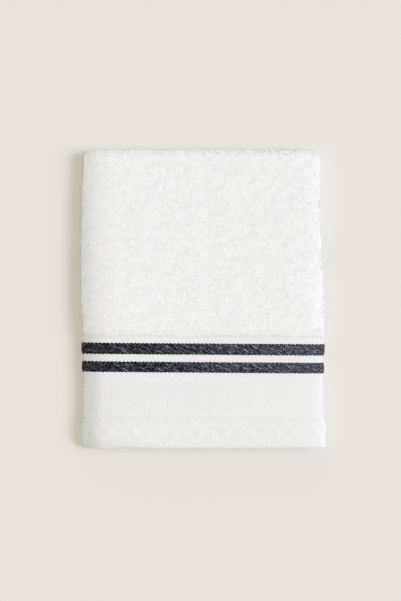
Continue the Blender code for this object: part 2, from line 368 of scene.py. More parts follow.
def half_width(along, side):
    """The folded strip's half width on the left (side 2) or the right (side 3), eased between the rows."""
    width = HALF_WIDTHS[0][side]
    for here, there in zip(HALF_WIDTHS, HALF_WIDTHS[1:]):
        width = width + (there[side] - here[side]) * ease((along - here[1]) / (there[1] - here[1]))
    depth = np.minimum(along, CUT_LENGTH - along)
    for start, end in stripe_spans():
        width = width + STRIPE_BULGE * ease(np.minimum(depth - start, end - depth) / STRIPE_BULGE_RUN)
    return width


def side_fold_turn(across):
    """How far round its side fold a point is, from 0 on the face to pi on the flap behind it."""
    return math.pi * np.clip((np.abs(across) - FACE_HALF) / SIDE_FOLD_LENGTH, 0.0, 1.0)


def fullness(turn, power):
    """How much further out a fold reaches than a round one, part of the way round it."""
    return (np.abs(np.sin(turn)) ** power + np.abs(np.cos(turn)) ** power) ** (-1 / power)


def fold_sides(across, radius):
    """Folds the long edges in: the distance from the middle line, and how far behind the face it lies."""
    turn = side_fold_turn(across)
    radius_here = radius * np.where(turn < math.pi / 2, fullness(turn, SIDE_FOLD_FULLNESS), 1.0)
    turned_in = (np.abs(across) - FACE_HALF - SIDE_FOLD_LENGTH) / FLAP_LENGTH
    x = np.where(turn < math.pi, FACE_HALF + radius_here * SIDE_SQUEEZE * np.sin(turn), FACE_HALF)
    x = np.where(turned_in > 0, FACE_HALF - turned_in * (FACE_HALF - SELVAGE_GAP / 2), x)
    x = np.where(turn > 0, np.copysign(x, across), across)
    return x, radius - radius_here * np.cos(turn)


def top_face_height(along):
    """The height of the top third's face, which sinks where the layers under it are flat cloth."""
    height = INNER_HEIGHT + TERRY_THICK / 2 + LAYERS_UNDER_FACE * settled_thickness(along) + 2 * LAYER_GAP
    return height - INNER_END_SINK * ease((along - INNER_END_SINK_START) / INNER_END_SINK_RUN)


def inner_face_height(along):
    """The height of the inner third's face."""
    return BASE_HEIGHT + LAYER_PITCH + TERRY_THICK / 2 + LAYERS_UNDER_FACE * settled_thickness(along) + 2 * LAYER_GAP


BACK_FOLD_RADIUS = float(top_face_height(CUT_LENGTH / 2) - BASE_HEIGHT) / 2
BACK_FOLD_CENTRE = FOLDED_LENGTH / 2 - TERRY_THICK / 2 - BACK_FOLD_RADIUS
TOP_RUN = BACK_FOLD_CENTRE - HEM_END
BACK_FOLD_END = TOP_RUN + math.pi * BACK_FOLD_RADIUS
BASE_RUN = BACK_FOLD_CENTRE - FRONT_FOLD_CENTRE
FRONT_FOLD_START = BACK_FOLD_END + BASE_RUN
FRONT_FOLD_END = FRONT_FOLD_START + math.pi * FRONT_FOLD_RADIUS


def fold_in_three(along, behind):
    """The place (y, z) of a point that lies behind the strip's face by the given distance."""
    back_turn = (along - TOP_RUN) / BACK_FOLD_RADIUS
    back_radius = BACK_FOLD_RADIUS - behind
    front_turn = (along - FRONT_FOLD_START) / FRONT_FOLD_RADIUS
    front_radius = FRONT_FOLD_RADIUS - behind
    thirds = [along <= TOP_RUN, along <= BACK_FOLD_END, along <= FRONT_FOLD_START, along <= FRONT_FOLD_END]
    back_radius = back_radius * np.where(back_turn < math.pi / 2, fullness(back_turn, BACK_FOLD_FULLNESS), 1.0)
    y = [
        HEM_END + along,
        BACK_FOLD_CENTRE + back_radius * np.sin(back_turn),
        BACK_FOLD_CENTRE - (along - BACK_FOLD_END),
        FRONT_FOLD_CENTRE - front_radius * np.sin(front_turn),
    ]
    z = [
        top_face_height(along) - behind,
        BASE_HEIGHT + BACK_FOLD_RADIUS + back_radius * np.cos(back_turn),
        BASE_HEIGHT + behind,
        BASE_HEIGHT + FRONT_FOLD_RADIUS - front_radius * np.cos(front_turn),
    ]
    inner_y = FRONT_FOLD_CENTRE + (along - FRONT_FOLD_END)
    return np.select(thirds, y, inner_y), np.select(thirds, z, inner_face_height(along) - behind)


def near_side(distance):
    """From 0 in the even middle to 1 at a side, by the distance from the middle line."""
    return ease((distance - EVEN_HALF_WIDTH) / UNEVEN_SIDE_WIDTH)


def near_end(distance):
    """From 0 in the even middle to 1 at a folded end, by the distance from the middle."""
    return ease((distance - EVEN_HALF_LENGTH) / UNEVEN_END_LENGTH)


def near_edge(distance, width):
    """From 0, the given width inside a side edge, to 1 at the edge, by the distance from the middle line."""
    return np.clip((distance - FOLDED_WIDTH / 2) / width + 1, 0.0, 1.0)


def droop(x, along, behind):
    """How far the hem end curls back and down, past the fold that it rests on."""
    past = np.maximum(HEM_OVERHANG + FRONT_FOLD_SKEW * near_side(-x) + HEM_REST - along, 0.0)
    bend = HEM_BEND + LEFT_CORNER_BEND * near_side(-x) + RIGHT_CORNER_BEND * near_side(x)
    angle = bend * past
    back = past - np.sin(angle) / bend + behind * np.sin(angle)
    return back, (behind - 1 / bend) * (1 - np.cos(angle))


def creases(x, along, depth_scale):
    """How far the soft creases raise the top third."""
    height = np.zeros_like(x)
    for _, middle_x, middle_along, turn, half_length, half_across, rise in CREASES:
        turn = math.radians(turn)
        right, up = x - middle_x, along - middle_along
        along_crease = up * math.cos(turn) - right * math.sin(turn)
        beside_crease = right * math.cos(turn) + up * math.sin(turn)
        height += rise * bump(along_crease / half_length) * bump(beside_crease / half_across)
    return height * depth_scale * ease((FACE_HALF - np.abs(x)) / SIDE_CROWN_WIDTH + CREASE_FADE)


def left_sag(x, along):
    """How much lower the stack lies towards its left side, most of all where it is flat cloth."""
    in_border = 1 - ease((np.minimum(along, CUT_LENGTH - along) - BORDER_DEPTH) / PILE_SETTLING + PILE_SETTLING_SHIFT)
    terry_sag = LEFT_SAG * near_edge(-x, LEFT_SAG_WIDTH) ** 2
    border_sag = LEFT_BORDER_SAG * near_edge(-x, LEFT_BORDER_SAG_WIDTH) ** LEFT_BORDER_SAG_POWER
    border_sag = border_sag + LEFT_EDGE_SAG * near_edge(-x, LEFT_EDGE_SAG_WIDTH) ** LEFT_EDGE_SAG_POWER
    border_sag = border_sag + LEFT_ROLL * ease(near_edge(-x, LEFT_ROLL_WIDTH))
    return terry_sag + (border_sag - terry_sag) * in_border


def settle(x, y, z, along, behind, crease_depth):
    """Adds the small unevenness of a stack folded by hand."""
    on_top = along < TOP_RUN
    near_hem_end = 1 - ease(along / EDGE_WAVE_DEPTH)
    fade = ease(along / BORDER[0][1]) * (1 - ease((along - BORDER_DEPTH) / BORDER_SLOPE_FADE))
    wave = EDGE_WAVE * bump((x - EDGE_WAVE_AT) / EDGE_WAVE_WIDTH) * near_hem_end
    corner = (HEM_REACH + LEFT_CORNER_REACH * ease(near_edge(-x, LEFT_CORNER_WIDTH))) * near_hem_end
    y = y + np.where(on_top, BORDER_SLOPE * x * fade - wave - corner, 0.0)
    y = y + np.where(along > BACK_FOLD_END, FRONT_FOLD_SKEW * near_side(-x) * near_end(-y), 0.0)
    lag = BACK_CORNER_LAG * ease((np.abs(x) - FACE_HALF) / BACK_CORNER_LAG_WIDTH + 1)
    rounding = np.maximum((np.abs(x) - FACE_HALF) / BACK_CORNER_ROUND_WIDTH + 0.5, 0.0)
    y = y + (BACK_REACH - lag - BACK_CORNER_ROUND * rounding**2) * near_end(y)
    from_side = near_edge(np.abs(x), SIDE_CROWN_WIDTH)
    crown = SIDE_CROWN * from_side**2 + SIDE_SHOULDER * from_side**SIDE_SHOULDER_POWER + left_sag(x, along)
    crown = crown - RIGHT_RISE * near_edge(x, RIGHT_RISE_WIDTH) ** 2
    z = BASE_HEIGHT + (z - BASE_HEIGHT) * (1 - crown)
    back, down = droop(x, along, behind * (1 - crown))
    z = z + down + np.where(on_top, creases(x, along, crease_depth), 0.0)
    return x, y + back, z


def place(across, along, crease_depth):
    """Where points of the flat towel lie once it is folded, as rows of x, y and z."""
    flat_third = (along < TOP_RUN) | (along > FRONT_FOLD_END)
    thick = np.where(flat_third, settled_thickness(along), TERRY_THICK)
    radius = (thick + LAYER_GAP) / 2
    x, behind = fold_sides(across, radius)
    y, z = fold_in_three(along, behind)
    widths = np.where(x < 0, half_width(along, 2), half_width(along, 3))
    x = x * widths / (FACE_HALF + radius * SIDE_SQUEEZE + thick / 2)
    return np.stack(settle(x, y, z, along, behind, crease_depth), axis=-1)


def spread(start, end, steps):
    """Evenly spaced lines after start, up to and including end."""
    return [start + (end - start) * (step + 1) / steps for step in range(steps)]


def mirrored(half):
    """Lines on both sides of the middle, from those on one side, outermost first."""
    return [-value for value in half] + half[::-1]


def lines_across():
    """Grid lines from one long edge to the other, close together round the side folds."""
    flap = spread(CUT_WIDTH / 2, FACE_HALF + SIDE_FOLD_LENGTH, FLAP_STEPS)
    fold = spread(flap[-1], FACE_HALF, SIDE_FOLD_STEPS)
    face_steps = round(2 * FACE_HALF / FACE_STEP)
    face = spread(-FACE_HALF, FACE_HALF, face_steps)[:-1]
    sides = mirrored([CUT_WIDTH / 2] + flap + fold)
    half = len(sides) // 2
    return sides[:half] + face + sides[half:]


def lines_along():
    """Grid lines from the end that shows to the inner end, closest together in the border that shows."""
    border_steps = round((BORDER_DEPTH - ROLLED_EDGE) / BORDER_STEP)
    terry_steps = round((TOP_RUN - BORDER_DEPTH) / TERRY_STEP)
    lines = [0.0, ROLLED_EDGE / 2, ROLLED_EDGE]
    border = spread(ROLLED_EDGE, BORDER_DEPTH, border_steps)
    groove = spread(HEM_GROOVE - HEM_GROOVE_WIDTH, HEM_GROOVE + HEM_GROOVE_WIDTH, GROOVE_STEPS)
    lines += sorted([line for line in border if abs(line - HEM_GROOVE) > HEM_GROOVE_WIDTH] + groove)
    lines += spread(BORDER_DEPTH, TOP_RUN, terry_steps)
    lines += spread(TOP_RUN, BACK_FOLD_END, BACK_FOLD_STEPS)
    lines += spread(BACK_FOLD_END, FRONT_FOLD_START, BASE_STEPS)
    lines += spread(FRONT_FOLD_START, FRONT_FOLD_END, FRONT_FOLD_STEPS)
    lines += spread(FRONT_FOLD_END, CUT_LENGTH - BORDER_DEPTH, INNER_STEPS)
    lines += spread(CUT_LENGTH - BORDER_DEPTH, CUT_LENGTH - ROLLED_EDGE, INNER_BORDER_STEPS)
    return lines + [CUT_LENGTH]


def ground_thickness(along, groove_depth):
    """The woven ground's thickness, from the rolled edge of the hem to the terry, with the groove of its stitches."""
    depth = np.minimum(along, CUT_LENGTH - along)
    thick = ROLLED_EDGE_THICK + (BORDER[0][2] - ROLLED_EDGE_THICK) * np.sqrt(np.clip(depth / ROLLED_EDGE, 0, 1))
    reach = 0.0
    for band, after in zip(BORDER, BORDER[1:]):
        reach += band[1]
        thick = thick + (after[2] - band[2]) * ease((depth - reach) / BAND_STEP + 0.5)
    thick = thick + (GROUND_THICK - BORDER[-1][2]) * ease((depth - BORDER_DEPTH) / BAND_STEP + 0.5)
    return thick - groove_depth * bump((depth - HEM_GROOVE) / HEM_GROOVE_WIDTH)


def fold_pinch(across, along):
    """How much of its thickness the cloth loses where a fold pinches it."""
    round_front = np.clip((along - FRONT_FOLD_START) / (FRONT_FOLD_END - FRONT_FOLD_START), 0.0, 1.0)
    return FOLD_PINCH * np.maximum(np.sin(side_fold_turn(across)), np.sin(math.pi * round_front))


def hem_puckers(across, along, height):
    """Small uneven swells of the doubled hem, between its edge and its stitches."""
    inside = bump((along - BORDER[0][1] / 2) / (BORDER[0][1] / 2))
    waves = [np.sin(across / length + phase) * np.sin(along / short + turn) for length, phase, short, turn in PUCKERS]
    return height * inside * sum(waves)


def cloth_grid(settings):
    """The middle surface of the folded cloth, with a UV map of its flat place and its share of the full thickness."""
    across, along = np.array(lines_across()), np.array(lines_along())
    columns, rows = len(across) - 1, len(along) - 1
    mesh = bpy.data.meshes.new(MIDDLE)
    grid = bmesh.new()
    bmesh.ops.create_grid(grid, x_segments=columns, y_segments=rows, size=1.0)
    flat = np.array([vertex.co[:2] for vertex in grid.verts])
    column = np.rint((flat[:, 0] + 1) / 2 * columns).astype(int)
    row = np.rint((flat[:, 1] + 1) / 2 * rows).astype(int)
    vertex_across, vertex_along = across[column], along[row]
    places = place(vertex_across, vertex_along, settings.crease_depth)
    on_hem = (vertex_along < BORDER[0][1]) & (np.abs(vertex_across) < FACE_HALF)
    puckers = hem_puckers(vertex_across, vertex_along, settings.hem_pucker)
    places[:, 2] += np.where(on_hem, puckers, 0.0)
    places += centring()
    thick = ground_thickness(vertex_along, settings.groove_depth) * (1 - fold_pinch(vertex_across, vertex_along))
    weights = grid.verts.layers.deform.verify()
    map_layer = grid.loops.layers.uv.new(UV_MAP)
    for vertex, spot, share in zip(grid.verts, places, thick / TERRY_THICK):
        vertex.co = spot
        vertex[weights][0] = share
    for face in grid.faces:
        face.smooth = True
        for corner in face.loops:
            index = corner.vert.index
            corner[map_layer].uv = (vertex_across[index] / CUT_WIDTH + 0.5, vertex_along[index] / CUT_LENGTH)
    grid.to_mesh(mesh)
    grid.free()
    return mesh


def centring():
    """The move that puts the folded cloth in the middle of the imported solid's box."""
    across, along = np.meshgrid(lines_across(), lines_along())
    spots = place(across.ravel(), along.ravel(), 0.0)
    low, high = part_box("towel")
    middle = (np.array(low) + np.array(high)) / 2 - (spots.min(axis=0) + spots.max(axis=0)) / 2
    return np.array((middle[0], middle[1], 0.0))


class NodeTree:
    """Adds nodes to a tree, with their inputs, and lays them out in rows. A number stands for an input or output whose
    name another one of the node shares."""

    def __init__(self, tree):
        self.tree = tree
        self.count = 0

    def add(self, kind, inputs=None, **settings):
        """A node of the given kind, with values or links for its inputs."""
        node = self.tree.nodes.new(kind)
        node.location = (self.count % NODES_IN_ROW * NODE_SPACING, -(self.count // NODES_IN_ROW) * NODE_SPACING)
        self.count += 1
        for name, value in settings.items():
            setattr(node, name, value)
        for key, value in (inputs or {}).items():
            self.give(node.inputs[key], value)
        return node

    def give(self, socket, value):
        """Links a socket to an input, or sets the input's value."""
        if isinstance(value, bpy.types.NodeSocket):
            self.tree.links.new(value, socket)
        else:
            socket.default_value = value

    def math(self, operation, *values):
        return self.add("ShaderNodeMath", dict(enumerate(values)), operation=operation).outputs[0]

    def plus(self, one, other):
        return self.math("ADD", one, other)

    def minus(self, one, other):
        return self.math("SUBTRACT", one, other)

    def times(self, one, other):
        return self.math("MULTIPLY", one, other)

    def over(self, one, other):
        return self.math("DIVIDE", one, other)

    def vector(self, operation, *values):
        return self.add("ShaderNodeVectorMath", dict(enumerate(values)), operation=operation).outputs[0]

    def scaled(self, vector, factor):
        inputs = {"Vector": vector, "Scale": factor}
        return self.add("ShaderNodeVectorMath", inputs, operation="SCALE").outputs[0]

    def combine(self, x, y, z):
        return self.add("ShaderNodeCombineXYZ", {0: x, 1: y, 2: z}).outputs[0]

    def separate(self, vector):
        return self.add("ShaderNodeSeparateXYZ", {0: vector}).outputs

    def noise(self, vector, scale, detail=2.0, roughness=0.5):
        inputs = {"Vector": vector, "Scale": scale, "Detail": detail, "Roughness": roughness}
        return self.add("ShaderNodeTexNoise", inputs).outputs[0]

    def patches(self, flat, size, detail=1.0, roughness=0.5, low=-1.0):
        """Soft patches over the flat cloth, of the given size, from a low value to 1."""
        noise = self.noise(self.vector("DIVIDE", flat, size), 1.0, detail, roughness)
        return self.map_range(noise, *NOISE_RANGE, low, 1.0)

    def map_range(self, value, low, high, to_low, to_high):
        inputs = {0: value, 1: low, 2: high, 3: to_low, 4: to_high}
        return self.add("ShaderNodeMapRange", inputs).outputs[0]

    def mix_colour(self, factor, one, other):
        inputs = {"Factor": factor, 6: one, 7: other}
        return self.add("ShaderNodeMix", inputs, data_type="RGBA").outputs[2]

    def random(self, low, high, seed):
        """A value of its own for each point or instance."""
        return self.add("FunctionNodeRandomValue", {2: low, 3: high, 8: seed}).outputs[1]

    def tone(self):
        """The tone that each small piece was given."""
        return self.add("ShaderNodeAttribute", attribute_name=TONE).outputs["Fac"]

    def ramp(self, factor, stops):
        """A colour ramp with the given (position, colour) stops."""
        node = self.add("ShaderNodeValToRGB", {0: factor})
        elements = node.color_ramp.elements
        while len(elements) < len(stops):
            elements.new(1.0)
        for element, (position, colour) in zip(elements, stops):
            element.position = position
            element.color = colour
        return node.outputs[0]


def socket_type(value):
    """The type of the socket that takes a number, or that is named."""
    return "NodeSocket" + {float: "Float", int: "Int"}.get(type(value), value)


def new_group(name, kind, inputs, outputs):
    """A node group. Each input is given by its default number or its type, and each output by its type."""
    tree = bpy.data.node_groups.new(name, kind)
    for label, value in inputs.items():
        socket = tree.interface.new_socket(name=label, in_out="INPUT", socket_type=socket_type(value))
        if not isinstance(value, str):
            socket.default_value = value
    for label, value in outputs.items():
        tree.interface.new_socket(name=label, in_out="OUTPUT", socket_type=socket_type(value))
    nodes = NodeTree(tree)
    given = nodes.add("NodeGroupInput").outputs
    result = nodes.add("NodeGroupOutput")
    return nodes, given, result


# Inputs of the trees that set small pieces out over the cloth, with their defaults
SETTING_OUT = {
    "Across From": -0.125,
    "Across To": 0.125,
    "Along From": 0.0,
    "Along To": 0.1,
    "Pitch Across": 0.004,
    "Pitch Along": 0.002,
    "Stagger": 0.5,
    "Jitter": 0.0,
    "Lift": 0.0005,
    "Seed": 0,
}


def rows_on_cloth_group():
    """Geometry group: points in staggered rows on the cloth, with its normal and its direction along the towel."""
    outputs = {"Points": "Geometry", "Normal": "Vector", "Along": "Vector", "Flat Place": "Vector"}
    nodes, given, result = new_group(ROWS, "GeometryNodeTree", {"Cloth": "Geometry", **SETTING_OUT}, outputs)
    width = nodes.minus(given["Across To"], given["Across From"])
    length = nodes.minus(given["Along To"], given["Along From"])
    columns = nodes.math("ROUND", nodes.over(width, given["Pitch Across"]))
    rows = nodes.math("ROUND", nodes.over(length, given["Pitch Along"]))
    counts = {"Vertices X": nodes.plus(columns, 1.0), "Vertices Y": nodes.plus(rows, 1.0)}
    grid = nodes.add("GeometryNodeMeshGrid", {"Size X": width, "Size Y": length, **counts})
    position = nodes.add("GeometryNodeInputPosition").outputs[0]
    x, y, _ = nodes.separate(position)
    row_step = nodes.over(length, nodes.math("MAXIMUM", rows, 1.0))
    row = nodes.math("ROUND", nodes.over(nodes.plus(y, nodes.times(length, 0.5)), row_step))
    stagger = nodes.times(nodes.math("MODULO", row, 2.0), nodes.times(given["Stagger"], given["Pitch Across"]))
    middle_x = nodes.times(nodes.plus(given["Across From"], given["Across To"]), 0.5)
    middle_y = nodes.times(nodes.plus(given["Along From"], given["Along To"]), 0.5)
    shake = [nodes.random(-1.0, 1.0, nodes.plus(given["Seed"], draw)) for draw in SHAKE_DRAWS]
    shake = [nodes.times(value, given["Jitter"]) for value in shake]
    across = nodes.plus(nodes.plus(x, stagger), nodes.plus(middle_x, shake[0]))
    along = nodes.plus(y, nodes.plus(middle_y, shake[1]))
    flat = nodes.combine(across, along, 0.0)
    uv = nodes.vector("ADD", nodes.vector("DIVIDE", flat, (CUT_WIDTH, CUT_LENGTH, 1.0)), (0.5, 0.0, 0.0))
    ahead = nodes.vector("ADD", uv, (0.0, STEP_AHEAD / CUT_LENGTH, 0.0))
    cloth_map = nodes.add("GeometryNodeInputNamedAttribute", {"Name": UV_MAP}, data_type="FLOAT_VECTOR").outputs[0]
    cloth_normal = nodes.add("GeometryNodeInputNormal").outputs[0]
    smooth_normal = nodes.add("GeometryNodeFieldOnDomain", {0: cloth_normal}, data_type="FLOAT_VECTOR", domain="POINT")

    def sampled(value, at):
        """A value of the cloth at a place on its UV map, and whether the place is on it."""
        inputs = {"Mesh": given["Cloth"], "Value": value, "UV Map": cloth_map, "Sample UV": at}
        return nodes.add("GeometryNodeSampleUVSurface", inputs, data_type="FLOAT_VECTOR").outputs

    spot, valid = sampled(position, uv)
    next_spot, _ = sampled(position, ahead)
    normal = nodes.vector("NORMALIZE", sampled(smooth_normal.outputs[0], uv)[0])
    direction = nodes.vector("NORMALIZE", nodes.vector("SUBTRACT", next_spot, spot))
    capture = nodes.add("GeometryNodeCaptureAttribute", {"Geometry": grid.outputs["Mesh"]})
    for label, value in (("Normal", normal), ("Along", direction), ("Flat Place", flat), ("Spot", spot)):
        capture.capture_items.new("VECTOR", label)
        nodes.give(capture.inputs[label], value)
    capture.capture_items.new("BOOLEAN", "On Cloth")
    nodes.give(capture.inputs["On Cloth"], valid)
    lifted = nodes.vector("ADD", capture.outputs["Spot"], nodes.scaled(capture.outputs["Normal"], given["Lift"]))
    placed = nodes.add("GeometryNodeSetPosition", {"Geometry": capture.outputs["Geometry"], "Position": lifted})
    kept = {"Mesh": placed.outputs[0], "Selection": capture.outputs["On Cloth"]}
    nodes.give(result.inputs["Points"], nodes.add("GeometryNodeMeshToPoints", kept).outputs[0])
    for label in ("Normal", "Along", "Flat Place"):
        nodes.give(result.inputs[label], capture.outputs[label])


def new_piece_tree(name, inputs):
    """A tree that sets small pieces out over the cloth, and the rows of points that it sets them on."""
    inputs = {"Geometry": "Geometry", **SETTING_OUT, **inputs, "Material": "Material"}
    nodes, given, result = new_group(name, "GeometryNodeTree", inputs, {"Geometry": "Geometry"})
    rows = nodes.add("GeometryNodeGroup", node_tree=bpy.data.node_groups[ROWS])
    nodes.give(rows.inputs["Cloth"], given["Geometry"])
    for label in SETTING_OUT:
        nodes.give(rows.inputs[label], given[label])
    return nodes, given, result, rows.outputs


def finish_tree(nodes, given, result, rows, piece, shares, scale, tone):
    """Ends a tree: stands the piece on its points, turned along and across the cloth by the given shares, and keeps
    each one's tone. Makes them real, shades them smooth and gives the material."""
    across_way = nodes.vector("CROSS_PRODUCT", rows["Along"], rows["Normal"])
    lean = nodes.vector("ADD", nodes.scaled(rows["Along"], shares[0]), nodes.scaled(across_way, shares[1]))
    axes = {0: rows["Normal"], 1: lean}
    rotation = nodes.add("FunctionNodeAxesToRotation", axes, primary_axis="Z", secondary_axis="X").outputs[0]
    placed = {"Points": rows["Points"], "Instance": piece, "Rotation": rotation, "Scale": scale}
    instances = nodes.add("GeometryNodeInstanceOnPoints", placed).outputs[0]
    toned = {"Geometry": instances, "Name": TONE, "Value": tone}
    toned = nodes.add("GeometryNodeStoreNamedAttribute", toned, data_type="FLOAT", domain="INSTANCE")
    real = nodes.add("GeometryNodeRealizeInstances", {"Geometry": toned.outputs[0]})
    smooth = nodes.add("GeometryNodeSetShadeSmooth", {"Geometry": real.outputs[0]})
    painted = nodes.add("GeometryNodeSetMaterial", {"Geometry": smooth.outputs[0], "Material": given["Material"]})
    nodes.give(result.inputs["Geometry"], painted.outputs[0])


def pile_tree():
    """Geometry tree: loops of yarn that stand on the cloth in rows and lean as the hand has stroked them."""
    inputs = {
        "Loop Length": 0.0024,
        "Loop Height": 0.0010,
        "Yarn Width": 0.0011,
        "Yarn Sides": 3,
        "Loop Steps": 3,
        "Nap Turn": 1.1,
        "Nap Size": 0.030,
        "Tuft Width": 0.0024,
        "Tuft Length": 0.0055,
        "Tuft Share": 0.5,
        "Clump Size": 0.010,
    }
    nodes, given, result, rows = new_piece_tree("Pile Loops", inputs)

    def uneven(width, length, detail=1.0):
        """Patches from -1 to 1, by the names of the inputs that give their size."""
        return nodes.patches(rows["Flat Place"], nodes.combine(given[width], given[length], 1.0), detail)

    stray = nodes.random(-LOOP_STRAY, LOOP_STRAY, nodes.plus(given["Seed"], LOOP_TURN_DRAW))
    turn = nodes.plus(nodes.times(uneven("Nap Size", "Nap Size"), given["Nap Turn"]), stray)
    shares = (nodes.times(nodes.math("COSINE", turn), -1.0), nodes.math("SINE", turn))
    tuft = uneven("Tuft Width", "Tuft Length")
    clump = uneven("Clump Size", "Clump Size", CLUMP_DETAIL)
    swell = nodes.times(tuft, given["Tuft Share"])
    own_size = nodes.random(-LOOP_UNEVENNESS, LOOP_UNEVENNESS, nodes.plus(given["Seed"], LOOP_SIZE_DRAW))
    size = nodes.plus(1.0, nodes.plus(swell, own_size))
    root = {"Resolution": given["Loop Steps"], "Start": nodes.combine(0.0, 0.0, -LOOP_ROOT)}
    bend = nodes.combine(nodes.times(given["Loop Length"], LOOP_BEND), 0.0, nodes.times(given["Loop Height"], 2.0))
    tip = nodes.combine(given["Loop Length"], 0.0, -LOOP_ROOT)
    arch = nodes.add("GeometryNodeCurveQuadraticBezier", {**root, "Middle": bend, "End": tip}).outputs[0]
    round_yarn = {"Resolution": given["Yarn Sides"], "Radius": nodes.times(given["Yarn Width"], 0.5)}
    ring = nodes.add("GeometryNodeCurvePrimitiveCircle", round_yarn).outputs[0]
    loop = nodes.add("GeometryNodeCurveToMesh", {"Curve": arch, "Profile Curve": ring, "Fill Caps": True})
    stretch = nodes.combine(nodes.plus(1.0, nodes.times(swell, 0.5)), 1.0, nodes.times(size, LOOP_FLATNESS))
    # Painted shade: the tone falls with the tufts, so the smaller, lower loops are darker; the clumps add a tone that
    # differs at random
    tone = nodes.plus(nodes.times(nodes.plus(tuft, clump), TONE_SWING), 0.5)
    finish_tree(nodes, given, result, rows, loop.outputs[0], shares, stretch, tone)
    return nodes.tree


def floats_tree():
    """Geometry tree: plump floats of yarn that lie on the cloth in rows, all turned the same way."""
    inputs = {
        "Float Length": 0.0026,
        "Float Width": 0.0012,
        "Float Height": 0.0006,
        "Turn": 0.0,
        "Unevenness": 0.1,
        "Segments": 6,
        "Rings": 4,
        "Streak Length": 0.007,
        "Streak Width": 0.0011,
        "Painted Light Rise": 0.0,
        "Right Fullness": 1.0,
    }
    nodes, given, result, rows = new_piece_tree(FLOATS, inputs)
    stray = nodes.random(-1.0, 1.0, nodes.plus(given["Seed"], FLOAT_TURN_DRAW))
    turn = nodes.plus(given["Turn"], nodes.times(stray, given["Unevenness"]))
    shares = (nodes.math("SINE", turn), nodes.math("COSINE", turn))
    round_yarn = {"Segments": given["Segments"], "Rings": given["Rings"], "Radius": 0.5}
    ball = nodes.add("GeometryNodeMeshUVSphere", round_yarn).outputs[0]
    lying = nodes.add("GeometryNodeTransform", {"Geometry": ball, "Rotation": (0.0, math.pi / 2, 0.0)}).outputs[0]
    size = nodes.combine(given["Float Length"], given["Float Width"], given["Float Height"])
    grain = nodes.add("GeometryNodeTransform", {"Geometry": lying, "Scale": size}).outputs[0]
    full = nodes.plus(1.0, nodes.times(nodes.random(-1.0, 1.0, FLOAT_SIZE_DRAW), given["Unevenness"]))
    x, y, _ = nodes.separate(rows["Flat Place"])
    flatness = nodes.map_range(x, 0.0, FOLDED_WIDTH / 2, 1.0, given["Right Fullness"])
    scale = nodes.combine(full, full, nodes.times(full, flatness))
    cosine, sine = nodes.math("COSINE", given["Turn"]), nodes.math("SINE", given["Turn"])
    lengthwise = nodes.plus(nodes.times(x, cosine), nodes.times(y, sine))
    sidewise = nodes.minus(nodes.times(y, cosine), nodes.times(x, sine))
    streaks = [nodes.over(lengthwise, given["Streak Length"]), nodes.over(sidewise, given["Streak Width"])]
    streak = nodes.map_range(nodes.noise(nodes.combine(*streaks, 0.0), 1.0, 1.0), *STREAK_RANGE, 0.0, 1.0)
    chance = nodes.random(0.0, 1.0, nodes.plus(given["Seed"], FLOAT_TONE_DRAW))
    tone = nodes.plus(nodes.times(streak, STREAK_SHARE), nodes.times(chance, 1 - STREAK_SHARE))
    # Painted light: the tone rises across the cloth with x, painted shade towards the left side and a painted
    # highlight towards the right
    tone = nodes.plus(tone, nodes.times(nodes.over(x, FOLDED_WIDTH / 2), given["Painted Light Rise"]))
    finish_tree(nodes, given, result, rows, grain, shares, scale, tone)
    return nodes.tree


def run_tree(name, tree, values):
    """Runs a tree on the cloth's middle surface and keeps the result as a plain mesh in a new piece."""
    worker = bpy.data.objects.new(name + "_source", bpy.data.meshes[MIDDLE])
    bpy.context.scene.collection.objects.link(worker)
    modifier = worker.modifiers.new("tree", "NODES")
    modifier.node_group = tree
    for socket in tree.interface.items_tree:
        if socket.in_out == "INPUT" and socket.name in values:
            modifier[socket.identifier] = values[socket.name]
    return new_piece(name, baked(worker, name, values["Material"]))


def pressed_on_floor(mesh):
    """Flattens what would reach below the floor, so that the underside rests on it."""
    spots = np.empty(3 * len(mesh.vertices))
    mesh.vertices.foreach_get("co", spots)
    low = spots[2::3] < FLOOR_SQUASH
    spots[2::3][low] = FLOOR_SQUASH * np.exp((spots[2::3][low] - FLOOR_SQUASH) / FLOOR_SOFTNESS)
    mesh.vertices.foreach_set("co", spots)
    mesh.update()


def baked(worker, name, material):
    """The mesh that a working object's modifiers make of it, with its material. The object is then removed."""
    bpy.context.view_layer.update()
    depsgraph = bpy.context.evaluated_depsgraph_get()
    mesh = bpy.data.meshes.new_from_object(worker.evaluated_get(depsgraph))
    mesh.name = name
    bpy.data.objects.remove(worker)
    mesh.materials.clear()
    mesh.materials.append(material)
    return mesh


def new_piece(name, mesh):
    """A piece of the towel, pressed onto the floor where it would reach below it, which rides on its body."""
    pressed_on_floor(mesh)
    piece = bpy.data.objects.new(name, mesh)
    bpy.context.scene.collection.objects.link(piece)
    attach(piece, "root")
    return piece


def fibres_group():
    """Shader group: the fine hairs of cotton as a height, and its slight unevenness as a tone."""
    outputs = {"Height": "Float", "Tone": "Float"}
    nodes, given, result = new_group(FIBRES, "ShaderNodeTree", {"Position": "Vector", "Hair Size": 0.0004}, outputs)
    scale = nodes.over(1.0, given["Hair Size"])
    nodes.give(result.inputs["Height"], nodes.noise(given["Position"], scale, *FIBRE_NOISE))
    nodes.give(result.inputs["Tone"], nodes.noise(given["Position"], nodes.times(scale, FIBRE_PATCH)))


def weave_group():
    """Shader group: the over-and-under of plain weave as a height, from the distances across and along."""
    inputs = {"Across": 0.0, "Along": 0.0, "Pitch": 0.001}
    nodes, given, result = new_group(WEAVE, "ShaderNodeTree", inputs, {"Height": "Float"})
    turns = nodes.over(math.pi, given["Pitch"])
    waves = [nodes.math("SINE", nodes.times(given[label], turns)) for label in ("Across", "Along")]
    nodes.give(result.inputs["Height"], nodes.plus(nodes.times(nodes.times(*waves), 0.5), 0.5))


